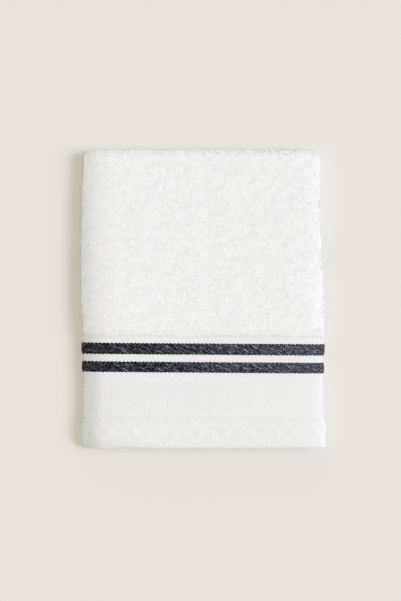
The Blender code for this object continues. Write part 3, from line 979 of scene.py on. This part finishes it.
def new_material(name, colour, roughness, sheen):
    """A cloth material, and its tree, shader and position."""
    material = bpy.data.materials.new(name)
    material.use_nodes = True
    material.diffuse_color = colour
    nodes = NodeTree(material.node_tree)
    shader = material.node_tree.nodes["Principled BSDF"]
    shader.inputs["Base Color"].default_value = colour
    shader.inputs["Roughness"].default_value = roughness
    shader.inputs["Specular IOR Level"].default_value = CLOTH_SPECULAR
    shader.inputs["Sheen Weight"].default_value = sheen
    shader.inputs["Sheen Roughness"].default_value = SHEEN_ROUGHNESS
    position = nodes.add("ShaderNodeTexCoord").outputs["Object"]
    return material, nodes, shader, position


def add_fibres(nodes, position, hair_size):
    """The cotton's height and tone at a position."""
    inputs = {"Position": position, "Hair Size": hair_size}
    return nodes.add("ShaderNodeGroup", inputs, node_tree=bpy.data.node_groups[FIBRES]).outputs


def add_bump(nodes, shader, height, distance):
    """Gives the shader bumps of the given height."""
    bumped = nodes.add("ShaderNodeBump", {"Height": height, "Distance": distance, "Strength": 1.0})
    nodes.give(shader.inputs["Normal"], bumped.outputs[0])


def darker(colour, share):
    """A colour of which the given share of the light is left."""
    return tuple(channel * share for channel in colour[:3]) + (1.0,)


def stripe_mask(nodes, depth):
    """1 in the stripes and 0 outside them, by the distance from the nearer end of the towel."""
    stops = [(0.0, (0, 0, 0, 1))]
    for start, end in stripe_spans():
        for edge, before in ((start + STRIPE_INSET, 0.0), (end - STRIPE_INSET, 1.0)):
            for side, value in ((-0.5, before), (0.5, 1 - before)):
                stops.append(((edge + side * STRIPE_FEATHER) / RAMP_DEPTH, (value, value, value, 1)))
    return nodes.ramp(nodes.over(depth, RAMP_DEPTH), stops)


def cloth_material(cloth, stripes, pile):
    """The woven ground: white, with navy stripes in the border and a plain weave all over."""
    white, navy, terry = tuple(cloth.colour), tuple(stripes.dark_colour), tuple(pile.colour)
    material, nodes, shader, position = new_material("white_cloth", white, cloth.roughness, cloth.sheen)
    u, v, _ = nodes.separate(nodes.add("ShaderNodeUVMap", uv_map=UV_MAP).outputs[0])
    across = nodes.times(nodes.minus(u, 0.5), CUT_WIDTH)
    along = nodes.times(v, CUT_LENGTH)
    flat = nodes.combine(across, along, 0.0)
    slubs = nodes.noise(nodes.vector("DIVIDE", flat, SLUB_SIZE), 1.0, *SLUB_NOISE)
    slub_tone = nodes.map_range(slubs, *NOISE_RANGE, 0.0, 1.0)
    white_tone = nodes.mix_colour(slub_tone, darker(white, 1 - cloth.tone_share), white)
    patches = nodes.patches(flat, PATCH_SIZE, *PATCH_NOISE, low=0.0)
    terry_tone = nodes.mix_colour(patches, darker(terry, 1 - pile.patch_share), terry)
    depth = nodes.math("MINIMUM", along, nodes.minus(CUT_LENGTH, along))
    in_pile = nodes.map_range(depth, BORDER_DEPTH, BORDER_DEPTH + BAND_STEP, 0.0, 1.0)
    ground = nodes.mix_colour(in_pile, white_tone, terry_tone)
    nodes.give(shader.inputs["Base Color"], nodes.mix_colour(stripe_mask(nodes, depth), ground, navy))
    inputs = {"Across": across, "Along": along, "Pitch": cloth.weave_pitch}
    weave = nodes.add("ShaderNodeGroup", inputs, node_tree=bpy.data.node_groups[WEAVE]).outputs[0]
    fibres = add_fibres(nodes, position, cloth.hair_size)
    height = nodes.plus(weave, nodes.times(fibres["Height"], FIBRE_SHARE))
    add_bump(nodes, shader, nodes.plus(height, nodes.times(slubs, SLUB_HEIGHT)), cloth.weave_height)
    return material


def pile_material(cloth, pile):
    """The loops' soft white yarn."""
    white = tuple(pile.colour)
    material, nodes, shader, position = new_material("white_pile", white, cloth.roughness, pile.sheen)
    fibres = add_fibres(nodes, position, cloth.hair_size)
    # Painted shade on the lower loops from their tone, with a random tone from the clumps
    colour = nodes.mix_colour(nodes.tone(), darker(white, 1 - pile.tone_share), white)
    nodes.give(shader.inputs["Base Color"], colour)
    add_bump(nodes, shader, fibres["Height"], pile.hair_height)
    shader.inputs["Subsurface Weight"].default_value = pile.softness
    shader.inputs["Subsurface Radius"].default_value = (1.0, 1.0, 1.0)
    shader.inputs["Subsurface Scale"].default_value = pile.yarn_width
    return material


def navy_material(cloth, stripes):
    """Navy yarn: its tone picks dark, middle or light navy, at random in streaks with painted shade towards the left
    side and a painted highlight towards the right, and painted shade darkens the hollows of its fibre bump.
    """
    navies = [tuple(navy) for navy in (stripes.dark_colour, stripes.middle_colour, stripes.light_colour)]
    material, nodes, shader, position = new_material("navy_floats", navies[1], cloth.roughness, stripes.sheen)
    fibres = add_fibres(nodes, position, cloth.hair_size)
    colour = nodes.ramp(nodes.tone(), list(zip(NAVY_STOPS, navies)))
    # Painted shade: the colour is darkened where the fibre bump is low, in its hollows, and mixed in by a fixed share
    worn = nodes.mix_colour(fibres["Height"], darker(navies[1], FLOAT_SHADE), colour)
    nodes.give(shader.inputs["Base Color"], nodes.mix_colour(FLOAT_HOLLOW_SHADE_MIX, colour, worn))
    add_bump(nodes, shader, fibres["Height"], cloth.weave_height)
    return material


def fleck_material(cloth, stripes):
    """The flecks of the stripes: their tone, at random in streaks and rising towards the right, sets them from dark
    navy to a light colour that is partly lighter yarn and partly a painted highlight.
    """
    light, dark = tuple(stripes.fleck_colour), tuple(stripes.dark_colour)
    material, nodes, shader, _ = new_material("navy_flecks", light, cloth.roughness, stripes.sheen)
    stops = []
    for tone_after, share in FLECK_TONES:
        colour = tuple(share * one + (1 - share) * other for one, other in zip(light, dark))
        stops.append((1 - stripes.fleck_share + tone_after, colour))
    nodes.give(shader.inputs["Base Color"], nodes.ramp(nodes.tone(), stops))
    return material


def white_float_material(cloth, figured):
    """The white floats of the figured band and the hem's sewing thread."""
    white = tuple(figured.colour)
    material, nodes, shader, position = new_material(WHITE_FLOATS, white, cloth.roughness, cloth.sheen)
    fibres = add_fibres(nodes, position, cloth.hair_size)
    colour = nodes.mix_colour(fibres["Tone"], darker(white, 1 - cloth.tone_share), white)
    nodes.give(shader.inputs["Base Color"], colour)
    add_bump(nodes, shader, fibres["Height"], cloth.weave_height)
    return material


def band_spans(wanted):
    """The bands of that name, as distances along the towel from the end that shows."""
    spans = []
    reach = 0.0
    for band, depth, _ in BORDER:
        if band == wanted:
            spans.append((reach, reach + depth))
        reach += depth
    return spans


def stripe_spans():
    """The two stripes, as distances along the towel from the end that shows."""
    return band_spans("stripe")


# What a user can change: the kinds of property, and the groups


def colour_setting(name, description, red, green, blue):
    """A colour, by its linear light."""
    return bpy.props.FloatVectorProperty(
        name=name, description=description, subtype="COLOR", size=4, min=0, max=1, default=(red, green, blue, 1.0)
    )


def share_setting(name, description, default):
    """A share from 0 to 1."""
    return bpy.props.FloatProperty(name=name, description=description, subtype="FACTOR", min=0, max=1, default=default)


def length_setting(name, description, least, default):
    """A length in metres, with the least that it may be."""
    return bpy.props.FloatProperty(name=name, description=description, unit="LENGTH", min=least, default=default)


def angle_setting(name, description, degrees):
    """An angle, by its default in degrees."""
    return bpy.props.FloatProperty(name=name, description=description, subtype="ANGLE", default=math.radians(degrees))


def strength_setting(name, description, default):
    """A factor from 0 upwards."""
    return bpy.props.FloatProperty(name=name, description=description, min=0, default=default)


def seed_setting(default):
    """What the random draws of a piece start from."""
    return bpy.props.IntProperty(name="Seed", description="Another seed gives another unevenness", default=default)


class TowelClothSettings(bpy.types.PropertyGroup):
    """The woven cloth and its folds"""

    colour: colour_setting("Colour", "Colour of the white ground", 0.805, 0.805, 0.802)
    roughness: share_setting("Roughness", "How matt the cotton is", 0.95)
    sheen: share_setting("Sheen", "Soft glow of the hairs at a flat angle", 0.12)
    tone_share: share_setting("Tone", "How much darker the darkest patches are", 0.05)
    hair_size: length_setting("Hair Size", "Size of the cotton's fine hairs", 0.0001, 0.0004)
    weave_pitch: length_setting("Weave Pitch", "Distance from one yarn to the next", 0.0002, 0.0009)
    weave_height: length_setting("Weave Height", "Height of the weave's bumps", 0.0, 0.00012)
    crease_depth: strength_setting("Crease Depth", "Depth of the soft creases as a share of their own", 1.0)
    hem_pucker: length_setting("Hem Pucker", "Height of the hem's small swells", 0.0, 0.00022)
    groove_depth: length_setting("Groove Depth", "How far the hem's stitches pull it in", 0.0, 0.0013)


class TowelPileSettings(bpy.types.PropertyGroup):
    """The loops of the terry"""

    colour: colour_setting("Colour", "Colour of the loops", 0.884, 0.883, 0.875)
    tone_share: share_setting("Tone", "How much darker the deepest loops are", 0.36)
    patch_share: share_setting("Patches", "How much darker the thinnest patches of pile are", 0.10)
    sheen: share_setting("Sheen", "Soft glow of the loops at a flat angle", 1.0)
    pitch_across: length_setting("Pitch Across", "Distance between loops in a row", 0.0005, 0.0015)
    pitch_along: length_setting("Pitch Along", "Distance between rows of loops", 0.0005, 0.0016)
    loop_length: length_setting("Loop Length", "How far a loop leans along the cloth", 0.0005, 0.0024)
    loop_height: length_setting("Loop Height", "How high a loop rises above the ground", 0.0002, 0.00036)
    yarn_width: length_setting("Yarn Width", "Thickness of the loops' yarn", 0.0002, 0.0011)
    softness: share_setting("Softness", "Share of the light that spreads within the yarn", 0.5)
    hair_height: length_setting("Hair Height", "Height of the yarn's fine hairs", 0.0, 0.00005)
    seed: seed_setting(3)


class TowelStripeSettings(bpy.types.PropertyGroup):
    """The floats, flecks and threads of the two stripes"""

    # Dark, Middle and Light navy are picked by each float's tone, which differs at random in streaks and rises from
    # the left side to the right: painted shade towards the left, and Light mostly a painted highlight towards the
    # right
    dark_colour: colour_setting("Dark", "Navy yarn that lies deep", 0.004, 0.004, 0.007)
    middle_colour: colour_setting("Middle", "Navy yarn that lies on top", 0.009, 0.010, 0.017)
    light_colour: colour_setting("Light", "The most worn navy yarn", 0.070, 0.082, 0.125)
    # The fleck colour is partly lighter yarn and partly a painted highlight
    fleck_colour: colour_setting("Flecks", "The lightest yarn in the stripes", 0.76, 0.81, 1.0)
    fleck_share: share_setting("Fleck Share", "Share of the tones that are light", 0.78)
    fleck_pitch: length_setting("Fleck Pitch", "Distance between flecks in a row", 0.001, 0.00399)
    fleck_length: length_setting("Fleck Length", "Length of one fleck", 0.0005, 0.0021)
    fleck_width: length_setting("Fleck Width", "Width of one fleck", 0.0002, 0.00037)
    sheen: share_setting("Sheen", "Soft glow of the navy yarn", 0.05)
    pitch_across: length_setting("Pitch Across", "Distance between floats in a row", 0.0005, 0.0020)
    pitch_along: length_setting("Pitch Along", "Distance between rows of floats", 0.0005, 0.0019)
    float_length: length_setting("Float Length", "Length of one float", 0.0005, 0.0028)
    float_width: length_setting("Float Width", "Width of one float", 0.0002, 0.0016)
    float_height: length_setting("Float Height", "Thickness of one float", 0.0002, 0.0010)
    turn: angle_setting("Turn", "Angle of the floats to the towel's width", -30)
    seed: seed_setting(8)


class TowelFiguredSettings(bpy.types.PropertyGroup):
    """The lozenges of the figured band"""

    colour: colour_setting("Colour", "Colour of the white floats", 0.835, 0.835, 0.832)
    pitch: length_setting("Pitch", "Distance between lozenges in a row", 0.001, 0.00396)
    lozenge_length: length_setting("Lozenge Length", "Length of a lozenge", 0.0005, 0.0027)
    lozenge_width: length_setting("Lozenge Width", "Width of a lozenge", 0.0005, 0.0019)
    lozenge_height: length_setting("Lozenge Height", "Thickness of a lozenge", 0.0001, 0.00038)
    turn: angle_setting("Turn", "Angle of the lozenges to the towel's width", 45)


class TowelHemSettings(bpy.types.PropertyGroup):
    """The hem's stitches"""

    stitch_pitch: length_setting("Stitch Pitch", "Distance from one stitch to the next", 0.001, 0.0031)
    stitch_length: length_setting("Stitch Length", "Length of one stitch", 0.0005, 0.0026)
    thread_width: length_setting("Thread Width", "Width of the sewing thread", 0.0001, 0.0005)


class TowelStageSettings(bpy.types.PropertyGroup):
    """The floor, the lights and the camera"""

    floor_colour: colour_setting("Floor", "Colour of the floor", 0.525, 0.514, 0.523)
    floor_glow: share_setting("Floor Glow", "Share of the floor's brightness that shines through it", 0.30)
    overhead: strength_setting("Overhead", "Strength of the soft overhead light", 0.735)
    key: strength_setting("Key", "Strength of the light from the right", 2.66)
    key_height: angle_setting("Key Height", "Angle of the key light above the floor", 42)
    back_light: strength_setting("Back Light", "Strength of the low light from the back", 0.32)
    front_light: strength_setting("Front Light", "Strength of the low light from the front", 0.15)
    dome: strength_setting("Dome", "Strength of the even light all round", 0.33)
    lens: bpy.props.FloatProperty(name="Lens", description="Focal length in millimetres", min=1, default=80.0)
    camera_height: length_setting("Camera Height", "Height of the camera above the floor", 0.0, 1.408)


# Where a tree sets its pieces out, and how big they are
WHOLE_WIDTH = {"Across From": -SIDE_REACH, "Across To": SIDE_REACH}
SIDES = {
    "left": {"Across From": -SIDE_REACH, "Across To": -FACE_HALF},
    "right": {"Across From": FACE_HALF, "Across To": SIDE_REACH},
}


def span(start, end, inset=0.0):
    """Rows along the towel from start to end, less the inset at both."""
    return {"Along From": start + inset, "Along To": end - inset}


def pitches(across, along):
    """The distances between pieces and between rows."""
    return {"Pitch Across": across, "Pitch Along": along}


def float_size(length, width, height):
    """The size of a float of yarn."""
    return {"Float Length": length, "Float Width": width, "Float Height": height}


class TowelOperator:
    """What the operators share."""

    bl_options = {"REGISTER", "UNDO"}


class TOWEL_OT_cloth(TowelOperator, bpy.types.Operator):
    """Lay the folded cloth with its creases, hem and striped ground"""

    bl_idname = "towel.lay_cloth"
    bl_label = "Lay Cloth"

    def execute(self, context):
        scene = context.scene
        fibres_group()
        weave_group()
        middle = cloth_grid(scene.towel_cloth)
        middle.use_fake_user = True
        worker = bpy.data.objects.new("cloth_source", middle)
        scene.collection.objects.link(worker)
        worker.vertex_groups.new(name="thickness")
        shell = worker.modifiers.new("thickness", "SOLIDIFY")
        shell.thickness = TERRY_THICK
        shell.offset = 0.0
        shell.vertex_group = "thickness"
        material = cloth_material(scene.towel_cloth, scene.towel_stripes, scene.towel_pile)
        cloth = new_piece("towel_cloth", baked(worker, "towel_cloth", material))
        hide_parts("towel")
        return {"FINISHED"}


class TOWEL_OT_pile(TowelOperator, bpy.types.Operator):
    """Raise the pile: loops on the face, round the folds and on the underside"""

    bl_idname = "towel.raise_pile"
    bl_label = "Raise Pile"

    def execute(self, context):
        pile = context.scene.towel_pile
        rows_on_cloth_group()
        tree = pile_tree()
        shared = {
            **WHOLE_WIDTH,
            **pitches(pile.pitch_across, pile.pitch_along),
            "Jitter": pile.pitch_across * JITTER_SHARE,
            "Lift": LOOP_LIFT,
            "Loop Length": pile.loop_length,
            "Loop Height": pile.loop_height,
            "Yarn Width": pile.yarn_width,
            "Seed": pile.seed,
            "Material": pile_material(context.scene.towel_cloth, pile),
        }
        cuts = [BORDER_DEPTH] + spread(BORDER_DEPTH, TOP_RUN, TOP_PILE_PIECES)
        half = pile.pitch_along / 2
        pieces = {}
        for number, (start, end) in enumerate(zip(cuts, cuts[1:]), start=1):
            pieces[f"pile_top_{number}"] = span(start, end, half)
        pieces["pile_back_fold"] = span(TOP_RUN, BACK_FOLD_END, half)
        pieces["pile_rim"] = {
            **span(BORDER_DEPTH - RIM_REACH, BORDER_DEPTH + RIM_REACH),
            **pitches(RIM_PITCH, 2 * RIM_REACH),
            "Jitter": RIM_JITTER,
            "Lift": RIM_LIFT,
            "Loop Length": RIM_LENGTH,
            "Loop Height": RIM_HEIGHT,
        }
        coarser = pitches(SIDE_PITCH, SIDE_PITCH)
        pieces["pile_front_fold"] = {**coarser, **span(FRONT_FOLD_START, FRONT_FOLD_END)}
        base = span(BACK_FOLD_END, FRONT_FOLD_START)
        pieces["pile_underside"] = {
            **base,
            **pitches(UNDER_PITCH, UNDER_PITCH),
            "Across From": -FACE_HALF,
            "Across To": FACE_HALF,
            "Lift": LOOP_LIFT / 2,
            "Loop Length": UNDER_LENGTH,
            "Loop Height": UNDER_HEIGHT,
            "Loop Steps": UNDER_STEPS,
            "Yarn Width": UNDER_YARN,
            "Tuft Share": UNDER_TUFTS,
        }
        inner_third = span(FRONT_FOLD_END, CUT_LENGTH - BORDER_DEPTH)
        for side, strip in SIDES.items():
            pieces[f"pile_base_{side}"] = {**coarser, **strip, **base}
            pieces[f"pile_inner_{side}"] = {**coarser, **strip, **inner_third}
        for name, values in pieces.items():
            run_tree(name, tree, {**shared, **values})
        return {"FINISHED"}


class TOWEL_OT_stripes(TowelOperator, bpy.types.Operator):
    """Weave the navy floats of the two stripes, on the border that shows and at the sides of the inner one"""

    bl_idname = "towel.weave_stripes"
    bl_label = "Weave Stripes"

    def execute(self, context):
        stripes = context.scene.towel_stripes
        tree = floats_tree()
        shared = {
            **WHOLE_WIDTH,
            **pitches(stripes.pitch_across, stripes.pitch_along),
            **float_size(stripes.float_length, stripes.float_width, stripes.float_height),
            "Jitter": FLOAT_JITTER,
            "Lift": STRIPE_LIFT,
            "Turn": stripes.turn,
            "Unevenness": FLOAT_UNEVENNESS,
            "Painted Light Rise": NAVY_PAINTED_LIGHT_RISE,
            "Seed": stripes.seed,
            "Material": navy_material(context.scene.towel_cloth, stripes),
        }
        edges = {
            **shared,
            "Pitch Across": stripes.fleck_pitch,
            "Float Length": EDGE_FLOAT_LENGTH,
            "Jitter": FLOAT_JITTER / 2,
            "Turn": EDGE_FLOAT_TURN,
        }
        flecks = {
            **shared,
            **pitches(stripes.fleck_pitch, stripes.fleck_pitch / 4),
            **float_size(stripes.fleck_length, stripes.fleck_width, stripes.fleck_width),
            "Lift": FLECK_LIFT,
            "Segments": FLECK_SEGMENTS,
            "Rings": FLECK_RINGS,
            "Unevenness": FLECK_UNEVENNESS,
            "Painted Light Rise": FLECK_PAINTED_LIGHT_RISE,
            "Material": fleck_material(context.scene.towel_cloth, stripes),
        }
        threads = {
            **flecks,
            **pitches(THREAD_PITCH, THREAD_PITCH / 4),
            **float_size(THREAD_LENGTH, THREAD_WIDTH, THREAD_WIDTH),
            "Jitter": THREAD_JITTER,
        }
        half = stripes.float_width / 2
        margin = half + SCALLOP
        for number, (start, end) in enumerate(stripe_spans(), start=1):
            name = f"stripe_{number}"
            shown = span(start, end, margin)
            rim = span(start, end, half)
            rim["Pitch Along"] = rim["Along To"] - rim["Along From"]
            run_tree(name, tree, {**shared, **shown})
            run_tree(name + "_edges", tree, {**edges, **rim})
            run_tree(name + "_flecks", tree, {**flecks, **shown})
            run_tree(name + "_threads", tree, {**threads, **span(start, end, THREAD_MARGIN)})
            hidden = span(CUT_LENGTH - end, CUT_LENGTH - start, margin)
            for side, strip in SIDES.items():
                run_tree(f"inner_{name}_{side}", tree, {**shared, **strip, **hidden})
        return {"FINISHED"}


class TOWEL_OT_figured(TowelOperator, bpy.types.Operator):
    """Weave the figured band's small white lozenges"""

    bl_idname = "towel.weave_figured_band"
    bl_label = "Weave Figured Band"

    def execute(self, context):
        figured = context.scene.towel_figured
        start, end = band_spans("figured")[0]
        values = {
            **WHOLE_WIDTH,
            **span(start, end, figured.pitch / 4),
            **pitches(figured.pitch, figured.pitch / 2),
            **float_size(figured.lozenge_length, figured.lozenge_width, figured.lozenge_height),
            "Lift": FIGURED_LIFT,
            "Turn": figured.turn,
            "Unevenness": LOZENGE_UNEVENNESS,
            "Right Fullness": FIGURED_RIGHT_FULLNESS,
            "Material": white_float_material(context.scene.towel_cloth, figured),
        }
        run_tree("figured_band", bpy.data.node_groups[FLOATS], values)
        return {"FINISHED"}


class TOWEL_OT_hem(TowelOperator, bpy.types.Operator):
    """Sew the hem's row of stitches"""

    bl_idname = "towel.stitch_hem"
    bl_label = "Stitch Hem"

    def execute(self, context):
        hem = context.scene.towel_hem
        values = {
            **WHOLE_WIDTH,
            **span(HEM_GROOVE, HEM_GROOVE + STITCH_ROW),
            **pitches(hem.stitch_pitch, 2 * STITCH_ROW),
            **float_size(hem.stitch_length, hem.thread_width, hem.thread_width),
            "Stagger": 0.0,
            "Lift": STITCH_LIFT,
            "Unevenness": LOZENGE_UNEVENNESS,
            "Material": bpy.data.materials[WHITE_FLOATS],
        }
        run_tree("hem_stitches", bpy.data.node_groups[FLOATS], values)
        return {"FINISHED"}


class TOWEL_OT_stage(TowelOperator, bpy.types.Operator):
    """Set the floor, the soft lights and the camera straight above"""

    bl_idname = "towel.set_stage"
    bl_label = "Set Stage"

    def execute(self, context):
        stage = context.scene.towel_stage
        make_floor(stage)
        make_lights(context.scene, stage)
        make_camera(context.scene, stage)
        context.scene.view_settings.view_transform = "Standard"
        return {"FINISHED"}


def make_floor(stage):
    """A wide pale floor that shines a little by itself."""
    bpy.ops.mesh.primitive_grid_add(x_subdivisions=4, y_subdivisions=4, size=FLOOR_SIZE)
    floor = bpy.context.object
    floor.name = "floor"
    pale = tuple(stage.floor_colour)
    material, nodes, shader, position = new_material("pale_floor", pale, FLOOR_ROUGHNESS, 0.0)
    grain = nodes.noise(position, FLOOR_GRAIN)
    nodes.give(shader.inputs["Base Color"], nodes.mix_colour(grain, darker(pale, FLOOR_SHADE), pale))
    shader.inputs["Emission Color"].default_value = GLOW_COLOUR
    shader.inputs["Emission Strength"].default_value = stage.floor_glow
    floor.data.materials.append(material)


def make_sun(scene, name, strength, colour, spread_angle, way, height):
    """A broad far light that comes from the given way round and height above the floor."""
    light = bpy.data.lights.new(name, "SUN")
    light.energy = strength
    light.color = colour
    light.angle = spread_angle
    lamp = bpy.data.objects.new(name, light)
    lamp.rotation_euler = (0.0, math.pi / 2 - height, way)
    lamp.location = (math.cos(way) * math.cos(height), math.sin(way) * math.cos(height), math.sin(height))
    scene.collection.objects.link(lamp)


def make_lights(scene, stage):
    """Soft light from above, the right and both ends, an even dome, and a pale backdrop that only the camera sees."""
    make_sun(scene, "overhead", stage.overhead, WARM, OVERHEAD_SPREAD, 0.0, math.pi / 2)
    make_sun(scene, "key", stage.key, KEY_COLOUR, KEY_SPREAD, 0.0, stage.key_height)
    make_sun(scene, "back_light", stage.back_light, WARM, END_SPREAD, math.pi / 2, END_HEIGHT)
    make_sun(scene, "front_light", stage.front_light, WARM, END_SPREAD, -math.pi / 2, END_HEIGHT)
    world = bpy.data.worlds.new("studio")
    world.use_nodes = True
    scene.world = world
    nodes = NodeTree(world.node_tree)
    dome = world.node_tree.nodes["Background"]
    dome.inputs["Color"].default_value = (*WARM, 1.0)
    dome.inputs["Strength"].default_value = stage.dome
    backdrop = nodes.add("ShaderNodeBackground", {"Color": BACKDROP_COLOUR, "Strength": 1.0})
    seen = nodes.add("ShaderNodeLightPath").outputs["Is Camera Ray"]
    mixed = nodes.add("ShaderNodeMixShader", {0: seen, 1: dome.outputs[0], 2: backdrop.outputs[0]})
    nodes.give(world.node_tree.nodes["World Output"].inputs["Surface"], mixed.outputs[0])


def make_camera(scene, stage):
    """A camera straight above, with the towel where the photo has it."""
    shift = centring()
    camera = bpy.data.cameras.new("camera")
    camera.lens = stage.lens
    camera.sensor_width = SENSOR_WIDTH
    camera.sensor_fit = "HORIZONTAL"
    holder = bpy.data.objects.new("camera", camera)
    holder.location = (VIEW_CENTRE[0] + shift[0], VIEW_CENTRE[1] + shift[1], stage.camera_height)
    scene.collection.objects.link(holder)
    scene.camera = holder


class TOWEL_PT_panel(bpy.types.Panel):
    """The towel's settings, each group with its operator"""

    bl_label = "Folded Terry Towel"
    bl_idname = "TOWEL_PT_panel"
    bl_space_type = "VIEW_3D"
    bl_region_type = "UI"
    bl_category = "Towel"

    def draw(self, context):
        for settings, _, operator in STEPS:
            box = self.layout.box()
            group = getattr(context.scene, settings)
            for name in group.__annotations__:
                box.prop(group, name)
            box.operator(operator)


# The steps in order: the settings on the scene, their group, and the operator that uses them
STEPS = (
    ("towel_cloth", TowelClothSettings, "towel.lay_cloth"),
    ("towel_pile", TowelPileSettings, "towel.raise_pile"),
    ("towel_stripes", TowelStripeSettings, "towel.weave_stripes"),
    ("towel_figured", TowelFiguredSettings, "towel.weave_figured_band"),
    ("towel_hem", TowelHemSettings, "towel.stitch_hem"),
    ("towel_stage", TowelStageSettings, "towel.set_stage"),
)

OPERATORS = (TOWEL_OT_cloth, TOWEL_OT_pile, TOWEL_OT_stripes, TOWEL_OT_figured, TOWEL_OT_hem, TOWEL_OT_stage)
CLASSES = tuple(group for _, group, _ in STEPS) + OPERATORS + (TOWEL_PT_panel,)


def register():
    """Registers the classes and puts the settings on the scene."""
    for new_class in CLASSES:
        bpy.utils.register_class(new_class)
    for name, group, _ in STEPS:
        setattr(bpy.types.Scene, name, bpy.props.PointerProperty(type=group))


def unregister():
    """Takes the settings and the classes away again."""
    for name, _, _ in STEPS:
        delattr(bpy.types.Scene, name)
    for old_class in reversed(CLASSES):
        bpy.utils.unregister_class(old_class)


def main():
    """Builds the whole scene."""
    for leftover in list(bpy.data.objects):
        if leftover.name in ("Cube", "Light", "Camera"):
            bpy.data.objects.remove(leftover)
    register()
    for _, _, operator in STEPS:
        group, name = operator.split(".")
        getattr(getattr(bpy.ops, group), name)()


if __name__ == "__main__":
    main()
